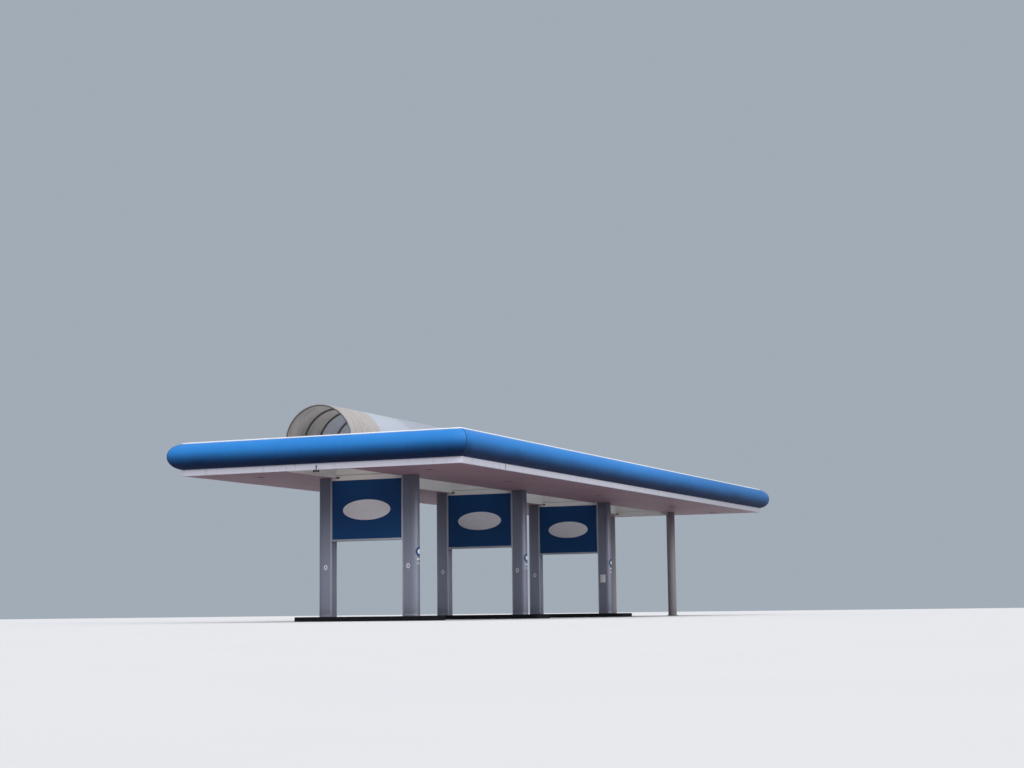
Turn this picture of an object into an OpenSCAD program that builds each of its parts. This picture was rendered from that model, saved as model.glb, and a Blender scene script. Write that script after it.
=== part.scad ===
// Filling station canopy: a long flat roof on three pairs of clad columns, which stand on
// islands and hold a sign between them, and on a pair of slim round columns at the rear.
// A mitred bullnose fascia runs round the roof, a slot runs along the middle of the
// ceiling, and a translucent barrel vault stands over the slot.
// Millimetres. X runs across the roof, Y along it, Z up, with the ground at Z = 0
// and the origin under the middle of the roof.

/* [Roof] */
// width of the roof over its white fascia bands
roof_width = 10000; // [8400:50:12000]
// length of the roof over its white fascia bands
roof_length = 32300; // [29000:50:40000]
// clear height from the ground to the ceiling
ceiling_height = 4700; // [4200:10:5500]
// thickness of the ceiling panels
ceiling_thickness = 30; // [10:1:60]
// height of the top of the roof deck above the ceiling
deck_rise = 800; // [500:10:900]
// thickness of the roof deck
deck_thickness = 60; // [20:5:150]

/* [Fascia] */
// depth of the fascia behind the face of the white band
fascia_depth = 100; // [60:5:200]
// height of the white band
band_height = 205; // [100:5:400]
// height of the rounded fascia
bullnose_height = 830; // [500:10:1000]
// reach of the rounded fascia in front of the white band
bullnose_reach = 340; // [150:5:410]
// height of the white trim on top of the fascia
trim_height = 40; // [20:5:80]

/* [Slot and vault] */
// width of the slot in the ceiling
slot_width = 2260; // [1600:10:2300]
// thickness of the walls that stand along the slot
slot_wall = 100; // [60:5:115]
// height of the top of the slot walls above the ceiling
slot_wall_rise = 850; // [600:10:1100]
// thickness of the walls across the two ends of the slot
slot_end_wall = 50; // [20:5:100]
// thickness of the vault's sheets
sheet_thickness = 16; // [6:1:30]
// distance of the vault's outer surface from the outside of a slot wall
sheet_inset = 10; // [0:1:40]
// number of sheets along the vault
sheet_count = 31; // [8:1:60]
// number of weathered sheets at the front end
aged_sheet_count = 2; // [1:1:6]
// length of the first sheet at the front, which is wider than the rest
first_sheet = 1170; // [1040:10:1400]
// width of a rib along the vault
rib_width = 40; // [20:2:80]
// depth of a rib under the sheets
rib_depth = 50; // [20:2:60]
// length of the rim at each end of the vault
rim_length = 50; // [20:5:120]
// depth of a rim under the sheets
rim_depth = 16; // [4:1:40]
// height of a rim above the sheets
rim_proud = 8; // [2:1:20]

/* [Columns] */
// length of a clad column across the roof, from its flat inner face to its round end
column_length = 520; // [400:10:900]
// depth of a clad column along the roof, which is the diameter of its round end
column_depth = 370; // [290:5:600]
// distance between the flat faces of a pair of clad columns
column_gap = 2620; // [2600:10:3400]
// diameter of the two slim columns at the rear
slim_diameter = 380; // [150:10:390]
// distance between the axes of the slim columns
slim_spacing = 2910; // [2900:10:3600]
// distance of the first pair behind the front band
front_overhang = 3440; // [2000:10:5000]
// distance of the last pair before the rear band
rear_overhang = 2535; // [1500:5:5000]
// width of the gap round a column where it passes the ceiling
ceiling_clearance = 5; // [1:1:12]

/* [Beams and signs] */
// thickness of a sign box, and width of the header and the beam over it
sign_thickness = 360; // [150:2:400]
// height of the bottom of a sign above the ground
sign_bottom = 2610; // [2200:10:3200]
// height of a header's bottom below the ceiling
header_drop = 100; // [40:5:200]
// height of a header's top above the ceiling
header_rise = 70; // [40:5:120]
// depth of the shadow gap between a header and its beam
header_gap = 15; // [4:1:30]
// height of the frame under a sign
frame_height = 60; // [20:5:100]
// width of the frame beside a sign
frame_side = 30; // [15:1:60]
// distance a frame stands out in front of its sign
frame_proud = 5; // [2:1:20]

/* [Islands] */
// length of an island across the roof
island_length = 5000; // [4200:50:8000]
// width of an island
island_width = 1200; // [800:10:1800]
// height of an island above the ground
island_height = 150; // [100:5:250]
// radius of an island's corners
island_corner = 120; // [20:10:400]

/* [Lights] */
// width of a ceiling light
light_size = 280; // [200:10:600]
// depth of a ceiling light above the ceiling
light_depth = 110; // [60:5:200]
// width of the flange round a ceiling light
light_flange = 20; // [10:1:40]
// thickness of that flange
flange_thickness = 8; // [3:1:20]
// gap round a light's housing in its ceiling cut-out
light_clearance = 5; // [1:1:10]
// diameter of the lamp under the front band
lamp_diameter = 80; // [40:2:120]
// length of the lamp under the front band
lamp_length = 190; // [80:5:300]
// gap between the lamp and the bottom of the band
lamp_gap = 2; // [1:1:20]
// height of the lamp's arm on the front band
arm_height = 130; // [60:5:180]
// width and depth of the lamp's arm
arm_width = 30; // [16:1:50]

/* [Hidden] */
$fn = 180;
// how far a cutting shape runs past the face it cuts
cut = 50;
pair_count = 4;
// pairs of clad columns, counted from the front, which stand on islands and hold the signs
clad_count = 3;
half_width = roof_width / 2;
half_length = roof_length / 2;
inner_width = half_width - fascia_depth;
inner_length = half_length - fascia_depth;
band_top = ceiling_height + band_height;
bullnose_top = band_top + bullnose_height;
bullnose_radius = (pow(bullnose_height / 2, 2) + pow(bullnose_reach, 2)) / (2 * bullnose_reach);
deck_top = ceiling_height + deck_rise;
deck_bottom = deck_top - deck_thickness;
slot_half = slot_width / 2;
wall_outer = slot_half + slot_wall;
wall_top = ceiling_height + slot_wall_rise;
slot_end = inner_length - slot_end_wall;
vault_radius = wall_outer - sheet_inset;
sheet_inner = vault_radius - sheet_thickness;
sheet_pitch = 2 * inner_length / sheet_count;
rib_inner = sheet_inner - rib_depth;
rim_inner = sheet_inner - rim_depth;
rim_outer = vault_radius + rim_proud;
column_face = column_gap / 2;
slim_x = slim_spacing / 2;
sign_half = column_face - frame_side;
header_bottom = ceiling_height - header_drop;
header_top = ceiling_height + header_rise;
beam_bottom = header_top + header_gap;
light_x = (slot_half + half_width) / 2;
light_hole = light_size + 2 * light_clearance;
first_pair = front_overhang - half_length;
last_pair = half_length - rear_overhang;
pair_pitch = (last_pair - first_pair) / (pair_count - 1);
function pair_y(i) = first_pair + i * pair_pitch;
function is_clad(i) = i < clad_count;
light_rows = [
    (first_pair - half_length) / 2,
    pair_y(0.5),
    pair_y(1.5),
    pair_y(2.5),
    (last_pair + half_length) / 2
];

// a block given by its low and high corner
module block(low, high) {
    translate(low) cube(high - low);
}

// an island: a slab with rounded corners under one pair of columns
module island(i) {
    color([0.10, 0.10, 0.11])
    translate([0, pair_y(i), 0])
    linear_extrude(island_height)
    union() {
        square([island_length - 2 * island_corner, island_width], center = true);
        square([island_length, island_width - 2 * island_corner], center = true);
        for (sx = [-1, 1], sy = [-1, 1])
            translate([sx * (island_length / 2 - island_corner), sy * (island_width / 2 - island_corner)])
            circle(r = island_corner);
    }
}

// plan of the column on the right side of a pair, grown on all sides by a clearance
module column_plan(i, extra) {
    if (is_clad(i))
        union() {
            translate([column_face - extra, -column_depth / 2 - extra])
            square([column_length - column_depth / 2 + extra, column_depth + 2 * extra]);
            translate([column_face + column_length - column_depth / 2, 0])
            circle(d = column_depth + 2 * extra);
        }
    else
        translate([slim_x, 0]) circle(d = slim_diameter + 2 * extra);
}

// a pair of columns from their island, or the ground, up to the beam
module columns(i) {
    foot = is_clad(i) ? island_height : 0;
    color([0.62, 0.63, 0.68])
    for (s = [0, 1])
        mirror([s, 0, 0])
        translate([0, pair_y(i), foot])
        linear_extrude(beam_bottom - foot) column_plan(i, 0);
}

// the room a pair of columns takes up, used to fit what is built round them
module column_space(i, extra) {
    for (s = [0, 1])
        mirror([s, 0, 0])
        translate([0, pair_y(i), 0])
        linear_extrude(beam_bottom + cut) column_plan(i, extra);
}

// a light box between two columns, inside its frame
module sign(i) {
    color([0.03, 0.12, 0.36])
    block([-sign_half, pair_y(i) - sign_thickness / 2, sign_bottom + frame_height],
          [sign_half, pair_y(i) + sign_thickness / 2, header_bottom]);
}

// frames under and beside the light boxes, from one flat column face to the other
module sign_frames() {
    half = sign_thickness / 2 + frame_proud;
    color([0.74, 0.76, 0.80])
    for (i = [0 : clad_count - 1])
        difference() {
            block([-column_face, pair_y(i) - half, sign_bottom],
                  [column_face, pair_y(i) + half, header_bottom]);
            block([-sign_half, pair_y(i) - half - cut, sign_bottom + frame_height],
                  [sign_half, pair_y(i) + half + cut, header_bottom + cut]);
        }
}

// cream headers: between the columns below the ceiling, and up into the slot
module headers() {
    half = sign_thickness / 2;
    color([0.80, 0.79, 0.74])
    for (i = [0 : pair_count - 1]) {
        reach = is_clad(i) ? column_face : slim_x;
        union() {
            difference() {
                block([-reach, pair_y(i) - half, header_bottom], [reach, pair_y(i) + half, ceiling_height]);
                column_space(i, 0);
            }
            block([-slot_half, pair_y(i) - half, header_bottom], [slot_half, pair_y(i) + half, header_top]);
        }
    }
}

// a beam across the roof, seen where it crosses the slot
module beam(i) {
    color([0.78, 0.77, 0.72])
    block([-inner_width, pair_y(i) - sign_thickness / 2, beam_bottom],
          [inner_width, pair_y(i) + sign_thickness / 2, deck_bottom]);
}

// one side of the ceiling, open round the columns and over the lights
module ceiling(side) {
    color([0.84, 0.83, 0.85])
    difference() {
        scale_side(side)
        block([slot_half, -inner_length, ceiling_height],
              [inner_width, inner_length, ceiling_height + ceiling_thickness]);
        for (i = [0 : pair_count - 1])
            column_space(i, ceiling_clearance);
        for (y = light_rows)
            translate([side * light_x, y, ceiling_height])
            cube([light_hole, light_hole, 2 * (ceiling_thickness + cut)], center = true);
    }
}

// puts a shape made for the right side on the left when side is -1
module scale_side(side) {
    mirror([side < 0 ? 1 : 0, 0, 0]) children();
}

// a wall along the slot, standing on the ceiling, with the beams passing through it
module slot_wall_side(side) {
    color([0.86, 0.85, 0.79])
    scale_side(side)
    difference() {
        block([slot_half, -inner_length, ceiling_height + ceiling_thickness],
              [wall_outer, inner_length, wall_top]);
        for (i = [0 : pair_count - 1])
            block([0, pair_y(i) - sign_thickness / 2, beam_bottom],
                  [wall_outer + cut, pair_y(i) + sign_thickness / 2, deck_bottom]);
    }
}

// the walls across the two ends of the slot
module slot_ends() {
    color([0.86, 0.85, 0.79])
    for (s = [0, 1])
        mirror([0, s, 0])
        block([-slot_half, slot_end, ceiling_height], [slot_half, inner_length, wall_top]);
}

// the roof deck on one side of the vault
module deck(side) {
    color([0.66, 0.67, 0.68])
    scale_side(side)
    block([wall_outer, -inner_length, deck_bottom], [inner_width, inner_length, deck_top]);
}

// outline of the white band, seen along a straight run, with X outward from its back
module band_outline() {
    translate([0, ceiling_height]) square([fascia_depth, band_height]);
}

// outline of the rounded fascia: a flat back and a front in one arc
module bullnose_outline() {
    intersection() {
        translate([0, band_top]) square([fascia_depth + bullnose_reach, bullnose_height]);
        translate([fascia_depth + bullnose_reach - bullnose_radius, band_top + bullnose_height / 2])
        circle(r = bullnose_radius);
    }
}

// a straight run of fascia, its outline swept along the edge and mitred at both corners
module fascia_run(reach, back, half_run) {
    far = half_run + reach;
    past = 2 * reach;
    translate([back, 0, 0])
    difference() {
        translate([0, far, 0]) rotate([90, 0, 0]) linear_extrude(2 * far) children();
        for (s = [0, 1])
            mirror([0, s, 0])
            translate([0, half_run, ceiling_height - cut])
            rotate([0, 0, 45])
            cube([past, past, bullnose_top]);
    }
}

// places a run on one of the four sides: quarter turns counted from the right side
module fascia_side(quarter) {
    along = (quarter % 2 == 0);
    rotate([0, 0, 90 * quarter])
    fascia_run(fascia_depth + bullnose_reach, along ? inner_width : inner_length,
               along ? inner_length : inner_width)
    children();
}

// a white band on one side
module band(quarter) {
    color([0.90, 0.90, 0.95]) fascia_side(quarter) band_outline();
}

// a rounded fascia on one side
module bullnose(quarter) {
    color([0.10, 0.36, 0.78]) fascia_side(quarter) bullnose_outline();
}

// the white trim round the top of the fascia
module fascia_trim() {
    color([0.92, 0.92, 0.95])
    difference() {
        block([-half_width, -half_length, bullnose_top],
              [half_width, half_length, bullnose_top + trim_height]);
        block([-inner_width, -inner_length, bullnose_top - cut],
              [inner_width, inner_length, bullnose_top + trim_height + cut]);
    }
}

// a half ring standing on the slot walls, from one station along the vault to another
module arch(outer, inner, start, stop) {
    translate([0, stop, wall_top])
    rotate([90, 0, 0])
    difference() {
        cylinder(r = outer, h = stop - start);
        translate([0, 0, -cut]) cylinder(r = inner, h = stop - start + 2 * cut);
        translate([-outer - cut, -outer - cut, -cut])
        cube([2 * (outer + cut), outer + cut, stop - start + 2 * cut]);
    }
}

// distance along the vault of the joint after a number of sheets
function joint_y(n) = (n == 1 ? first_sheet : n * sheet_pitch) - inner_length;

// the weathered sheets at the front end
module vault_sheets_front() {
    color([0.78, 0.75, 0.66])
    arch(vault_radius, sheet_inner, rim_length - inner_length, joint_y(aged_sheet_count));
}

// the other sheets
module vault_sheets() {
    color([0.80, 0.83, 0.88])
    arch(vault_radius, sheet_inner, joint_y(aged_sheet_count), inner_length - rim_length);
}

// the ribs under the joints between sheets
module vault_ribs() {
    color([0.22, 0.22, 0.23])
    for (n = [1 : sheet_count - 1])
        arch(sheet_inner, rib_inner, joint_y(n) - rib_width / 2, joint_y(n) + rib_width / 2);
}

// the rims at the two open ends of the vault
module vault_rims() {
    color([0.82, 0.82, 0.80])
    for (s = [0, 1])
        mirror([0, s, 0])
        arch(rim_outer, rim_inner, inner_length - rim_length, inner_length);
}

// square lights let into the ceiling, each with a flange under its edge
module ceiling_lights() {
    color([0.20, 0.20, 0.21])
    for (s = [-1, 1], y = light_rows)
        translate([s * light_x, y, ceiling_height])
        union() {
            translate([-light_size / 2, -light_size / 2, -flange_thickness])
            cube([light_size, light_size, light_depth + flange_thickness]);
            translate([-light_size / 2 - light_flange, -light_size / 2 - light_flange, -flange_thickness])
            cube([light_size + 2 * light_flange, light_size + 2 * light_flange, flange_thickness]);
        }
}

// a small lamp hanging from an arm in the middle of the front band
module front_lamp() {
    color([0.12, 0.12, 0.13])
    union() {
        block([-arm_width / 2, -half_length - arm_width, ceiling_height - lamp_diameter / 2],
              [arm_width / 2, -half_length, ceiling_height + arm_height]);
        translate([0, -half_length - arm_width / 2, ceiling_height - lamp_diameter / 2 - lamp_gap])
        rotate([0, 90, 0])
        cylinder(d = lamp_diameter, h = lamp_length, center = true);
    }
}

island(0);  // island_1
island(1);  // island_2
island(2);  // island_3
columns(0);  // columns_1
columns(1);  // columns_2
columns(2);  // columns_3
columns(3);  // columns_4
sign(0);  // sign_1
sign(1);  // sign_2
sign(2);  // sign_3
sign_frames();
headers();
beam(0);  // beam_1
beam(1);  // beam_2
beam(2);  // beam_3
beam(3);  // beam_4
ceiling(-1);  // ceiling_left
ceiling(1);  // ceiling_right
slot_wall_side(-1);  // slot_wall_left
slot_wall_side(1);  // slot_wall_right
slot_ends();
deck(-1);  // deck_left
deck(1);  // deck_right
band(3);  // band_front
band(1);  // band_rear
band(2);  // band_left
band(0);  // band_right
bullnose(3);  // bullnose_front
bullnose(1);  // bullnose_rear
bullnose(2);  // bullnose_left
bullnose(0);  // bullnose_right
fascia_trim();
vault_sheets_front();
vault_sheets();
vault_ribs();
vault_rims();
ceiling_lights();
front_lamp();
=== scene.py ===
"""Looks of a filling station canopy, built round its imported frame.

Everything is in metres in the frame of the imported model: X runs across the roof, Y along it
from the front end to the rear, Z up. Shapes are outlines carried along stations, worked out
with numpy as whole arrays. Every finish is a small class that writes its own shader.
"""
import functools
import logging
import math
from collections.abc import Sequence
from dataclasses import dataclass, field
from enum import Enum

import bpy
import numpy as np
from mathutils import Matrix, Vector


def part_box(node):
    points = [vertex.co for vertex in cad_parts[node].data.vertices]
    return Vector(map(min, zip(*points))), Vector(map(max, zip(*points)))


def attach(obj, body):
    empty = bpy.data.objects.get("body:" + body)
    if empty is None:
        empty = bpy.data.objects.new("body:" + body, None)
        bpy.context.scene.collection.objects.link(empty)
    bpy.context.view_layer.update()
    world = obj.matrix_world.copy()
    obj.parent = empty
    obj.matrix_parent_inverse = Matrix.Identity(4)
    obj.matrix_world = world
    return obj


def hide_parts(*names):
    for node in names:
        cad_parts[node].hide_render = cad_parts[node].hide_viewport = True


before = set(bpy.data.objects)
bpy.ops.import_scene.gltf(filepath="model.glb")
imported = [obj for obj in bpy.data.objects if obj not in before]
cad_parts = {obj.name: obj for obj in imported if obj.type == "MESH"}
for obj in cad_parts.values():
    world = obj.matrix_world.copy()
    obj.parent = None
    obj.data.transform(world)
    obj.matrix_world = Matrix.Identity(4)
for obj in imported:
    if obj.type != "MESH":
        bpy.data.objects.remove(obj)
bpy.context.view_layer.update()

LOG = logging.getLogger("canopy")
CLAD = (1, 2, 3)
PAIRS = (1, 2, 3, 4)
SIDES = (-1, 1)
EDGE_SHARE = 0.45
LEAST_DIVISOR = 0.4
NO_LENGTH = 1e-6
PLANK_POINTS = (-0.5, -0.25, 0.25, 0.5)
JOINT_POINTS = (-0.5, -0.3, 0.3, 0.5)
FIRST_JOINT = 0.47
LET_IN = 0.001  # how far a thin part goes into what carries it
CUT_OVER = 0.1  # how far a cutting shape reaches past what it cuts
HALVES = ((1, "right"), (-1, "left"))
Array = np.ndarray
Point = Sequence[float]
Triple = tuple[float, float, float]
Color = Triple
Span = tuple[float, float]


class Axis(Enum):
    """Direction in which an outline is carried: where its two coordinates and the station go."""

    X = (1, 2, 0)
    Y = (0, 2, 1)
    Z = (0, 1, 2)


class Side(Enum):
    """The four sides of the roof, as quarter turns counted from the right side."""

    RIGHT = 0
    REAR = 1
    LEFT = 2
    FRONT = 3

    @property
    def word(self) -> str:
        """The side's word in the names of nodes and pieces."""
        return self.name.lower()

    def place(self, out: Array, along: Array, height: Array) -> Array:
        """Points of this side: the right side's (out, along), turned by its quarter turns.

        Args:
            out: outward distances from the middle of the roof.
            along: places along the side.
            height: heights.

        Returns:
            The points, their three coordinates last.
        """
        turn = self.value * math.pi / 2
        c, s = round(math.cos(turn)), round(math.sin(turn))
        return np.stack([c * out - s * along, s * out + c * along, height], -1)


@dataclass(frozen=True)
class Groove:
    """Cross section of a joint: its width, and how deep it goes.

    Its four points lie across it at PLANK_POINTS between two planks, and at JOINT_POINTS between
    two lengths, both as shares of the width.
    """

    width: float
    depth: float


# Outlines


def rounded(outline: Array, radius: float | Point, steps: int = 4) -> Array:
    """Rounds the corners of a closed outline.

    Each corner gives way to a quadratic curve that starts and ends on its two edges at the given
    distance, or at EDGE_SHARE of the edge where that is shorter. A point of the curve is
    (1-t)^2 a + 2t(1-t) corner + t^2 b.

    Args:
        outline: corners, one row each.
        radius: distance for all the corners, or one for each.
        steps: number of edges on each curve.

    Returns:
        The rounded outline, without repeated points.
    """
    size = np.broadcast_to(np.asarray(radius, float), len(outline))[:, None]
    ends = []
    for shift in (1, -1):
        edge = np.roll(outline, shift, 0) - outline
        reach = np.linalg.norm(edge, axis=1, keepdims=True)
        ends.append((outline + edge / reach * np.minimum(size, EDGE_SHARE * reach))[:, None])
    t = np.linspace(0, 1, steps + 1)[None, :, None]
    curve = (1 - t) ** 2 * ends[0] + 2 * t * (1 - t) * outline[:, None] + t**2 * ends[1]
    points = curve.reshape(-1, 2)
    return points[np.linalg.norm(points - np.roll(points, 1, 0), axis=1) > NO_LENGTH]


def square_outline(low: Point, high: Point) -> Array:
    """Rectangle between two opposite corners."""
    return np.array([low, (high[0], low[1]), high, (low[0], high[1])], float)


def box_outline(low: Point, high: Point, radius: float = 0.003) -> Array:
    """Rectangle between two opposite corners, with its corners rounded."""
    return rounded(square_outline(low, high), radius, 3)


def ellipse(width: float, height: float, centre: Point = (0, 0), count: int = 72) -> Array:
    """Ellipse: centre + (width/2 cos t, height/2 sin t) for t round the full turn."""
    t = np.arange(count) / count * 2 * math.pi
    return np.stack([centre[0] + width / 2 * np.cos(t), centre[1] + height / 2 * np.sin(t)], 1)


def circle(across: float, centre: Point, count: int) -> Array:
    """Circle of a diameter round a centre, as so many points."""
    return ellipse(across, across, centre, count)


def inward(outline: Array) -> Array:
    """Direction in which each point of a closed outline moves when the outline shrinks by one.

    With unit edge normals n before and m after a point, it is (n + m) / (1 + n.m), which keeps
    every edge parallel to itself. The divisor is held at LEAST_DIVISOR or more, for the sake of
    very sharp points. The sign follows from the outline's signed area.

    Args:
        outline: the closed outline.

    Returns:
        One direction for each point.
    """
    after = np.roll(outline, -1, 0)
    edge = after - outline
    turn = np.sign(np.sum(outline[:, 0] * after[:, 1] - outline[:, 1] * after[:, 0]))
    length = np.linalg.norm(edge, axis=1, keepdims=True)
    normal = turn * np.stack([-edge[:, 1], edge[:, 0]], 1) / length
    last = np.roll(normal, 1, 0)
    divisor = np.maximum(1 + np.sum(normal * last, 1, keepdims=True), LEAST_DIVISOR)
    return (normal + last) / divisor


def drawn_in(outline: Array, inset: Array) -> Array:
    """Copies of a closed outline, each drawn in by its own inset: outline + inset * inward."""
    return outline[None] + inset[:, None, None] * inward(outline)[None]


def planked(face: float, back: float, low: float, high: float, count: int, groove: Groove) -> Array:
    """Closed outline of a wall whose face is divided into planks by grooves.

    The grooves are centred on the joints between equal planks.

    Args:
        face: first coordinate of the face.
        back: first coordinate of the flat back.
        low: second coordinate of the bottom.
        high: second coordinate of the top.
        count: number of planks.
        groove: the groove between two planks, its depth measured from the face.

    Returns:
        The outline, with four points at each groove.
    """
    into = face + math.copysign(groove.depth, back - face)
    z = even(low, high, count)[:, None] + groove.width * np.array(PLANK_POINTS)
    x = np.broadcast_to([face, into, into, face], z.shape)
    middle = np.stack([x.ravel(), z.ravel()], 1)
    return np.concatenate([[(face, low)], middle, [(face, high), (back, high), (back, low)]])


def cased(low: Point, high: Point, count: int, groove: Groove) -> Array:
    """Closed outline of a casing between two corners, with planks on its two upright faces."""
    near, far = (planked(face, back, low[1], high[1], count, groove)[:-2]
                 for face, back in ((low[0], high[0]), (high[0], low[0])))
    return np.concatenate([near, far[::-1]])


# Stations


def even(low: float, high: float, count: int) -> Array:
    """Places of the joints that divide a run into so many equal lengths."""
    return np.linspace(low, high, count + 1)[1:-1]


def eased(low: float, high: float, radius: float, steps: int = 3) -> Array:
    """Stations and insets of a run whose two ends are rounded over.

    The inset follows a quarter circle: at a distance r(1 - cos t) from the end it is r(1 - sin t).

    Args:
        low: first station.
        high: last station.
        radius: radius of the rounding.
        steps: number of steps on each quarter circle.

    Returns:
        Rows of (station, inset).
    """
    t = np.linspace(0, math.pi / 2, steps + 1)
    fall, inset = radius * (1 - np.cos(t)), radius * (1 - np.sin(t))
    start, stop = np.stack([low + fall, inset], 1), np.stack([high - fall, inset], 1)
    return np.concatenate([start, stop[::-1]])


def grooved(run: Array, joints: Point, groove: Groove) -> Array:
    """Adds grooves to the stations of a run: at each joint the outline steps in and out again.

    Args:
        run: rows of (station, inset).
        joints: stations of the joints.
        groove: cross section of each joint.

    Returns:
        The rows with those of the joints, in order of station.
    """
    at = np.asarray(joints, float)[:, None] + groove.width * np.array(JOINT_POINTS)
    inset = np.broadcast_to([0.0, groove.depth, groove.depth, 0.0], at.shape)
    rows = np.concatenate([run, np.stack([at.ravel(), inset.ravel()], 1)])
    return rows[np.argsort(rows[:, 0], kind="stable")]


def jointed(outline: Array, pitch: float, groove: Groove) -> tuple[Array, Array]:
    """Closed path with joints at an even pitch.

    Points are found by linear interpolation over the distance along the outline. The first joint
    stands FIRST_JOINT of a length along it, so that none falls on the path's first point.

    Args:
        outline: the closed path.
        pitch: wished distance between joints; the real one divides the path evenly.
        groove: cross section of a joint.

    Returns:
        The points of the path, and the inset at each.
    """
    closed = np.concatenate([outline, outline[:1]])
    step = np.linalg.norm(np.diff(closed, axis=0), axis=1)
    far = np.concatenate([[0.0], np.cumsum(step)])
    count = round(far[-1] / pitch)
    joints = (np.arange(count) + FIRST_JOINT) * far[-1] / count
    run = grooved(np.stack([far[:-1], 0 * far[:-1]], 1), joints, groove)
    return np.stack([np.interp(run[:, 0], far, closed[:, k]) for k in (0, 1)], 1), run[:, 1]


# Rings


def carry(outline: Array, run: Array, axis: Axis) -> Array:
    """Rings of an outline carried along an axis.

    Args:
        outline: the closed outline.
        run: rows of (station, inset); the outline is drawn in by the inset at each station.
        axis: direction of the run.

    Returns:
        Array of stations by points by three coordinates.
    """
    drawn = drawn_in(outline, run[:, 1])
    rings = np.empty((*drawn.shape[:2], 3))
    first, second, along = axis.value
    rings[..., first], rings[..., second] = drawn[..., 0], drawn[..., 1]
    rings[..., along] = run[:, 0, None]
    return rings


def arch(outline: Array, height: float, steps: int = 48) -> Array:
    """Rings of an outline of (radius, y) carried over the half circle.

    A point is (radius cos t, y, height + radius sin t), with t from 0 to half a turn.

    Args:
        outline: the closed outline.
        height: height of the circle's centre.
        steps: number of steps over the half circle.

    Returns:
        Array of stations by points by three coordinates.
    """
    t = np.linspace(0, math.pi, steps + 1)[:, None]
    r, y = outline[None, :, 0], np.tile(outline[:, 1], (len(t), 1))
    return np.stack([r * np.cos(t), y, height + r * np.sin(t)], -1)


def kerb_ring(path: Array, inset: Array, profile: Array) -> Array:
    """Rings of a profile of (inward, z) carried round a closed path in plan.

    A point (a, z) of the profile, drawn in at a joint, stands at p + a d, where p is the path's
    point and d the direction in which the path shrinks there.

    Args:
        path: points of the path.
        inset: how far the profile is drawn in at each.
        profile: the closed profile.

    Returns:
        Array of stations by points by three coordinates.
    """
    shaped = drawn_in(profile, inset)
    plan = path[:, None] + shaped[..., :1] * inward(path)[:, None]
    return np.concatenate([plan, shaped[..., 1:]], -1)


def wrapped(outline: Array, axis: Point, radius: float, thick: float) -> Array:
    """Rings of a thin shape bent round the outer face of a vertical column.

    A point (a, z), drawn towards the middle by a factor, lies at the angle a / radius. The factors
    run out over the front and back over the rear, so both ends close in a very small cap.

    Args:
        outline: closed outline of (distance round the column, height).
        axis: x and y of the column's axis.
        radius: radius of the column.
        thick: how far the shape stands out.

    Returns:
        Array of stations by points by three coordinates.
    """
    factor = np.array([0.02, 0.35, 0.7, 0.97, 1.0, 1.0, 0.7, 0.35, 0.02])[:, None, None]
    lift = thick * np.array([1, 1, 1, 1, 0.7, -0.5, -0.5, -0.5, -0.5])[:, None]
    flat = outline.mean(0) + factor * (outline - outline.mean(0))
    turn, far = flat[..., 0] / radius, radius + lift
    return np.stack([axis[0] + far * np.cos(turn), axis[1] + far * np.sin(turn), flat[..., 1]], -1)


# Solids


def linked(name: str, data: bpy.types.ID) -> bpy.types.Object:
    """A new object of the data, in the scene."""
    bpy.context.scene.collection.objects.link(made := bpy.data.objects.new(name, data))
    return made


def shade(mesh: bpy.types.Mesh, sharp: float) -> None:
    """Shades a mesh smooth, except at edges sharper than an angle in degrees."""
    mesh.shade_smooth()
    mesh.set_sharp_from_angle(angle=math.radians(sharp))


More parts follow.
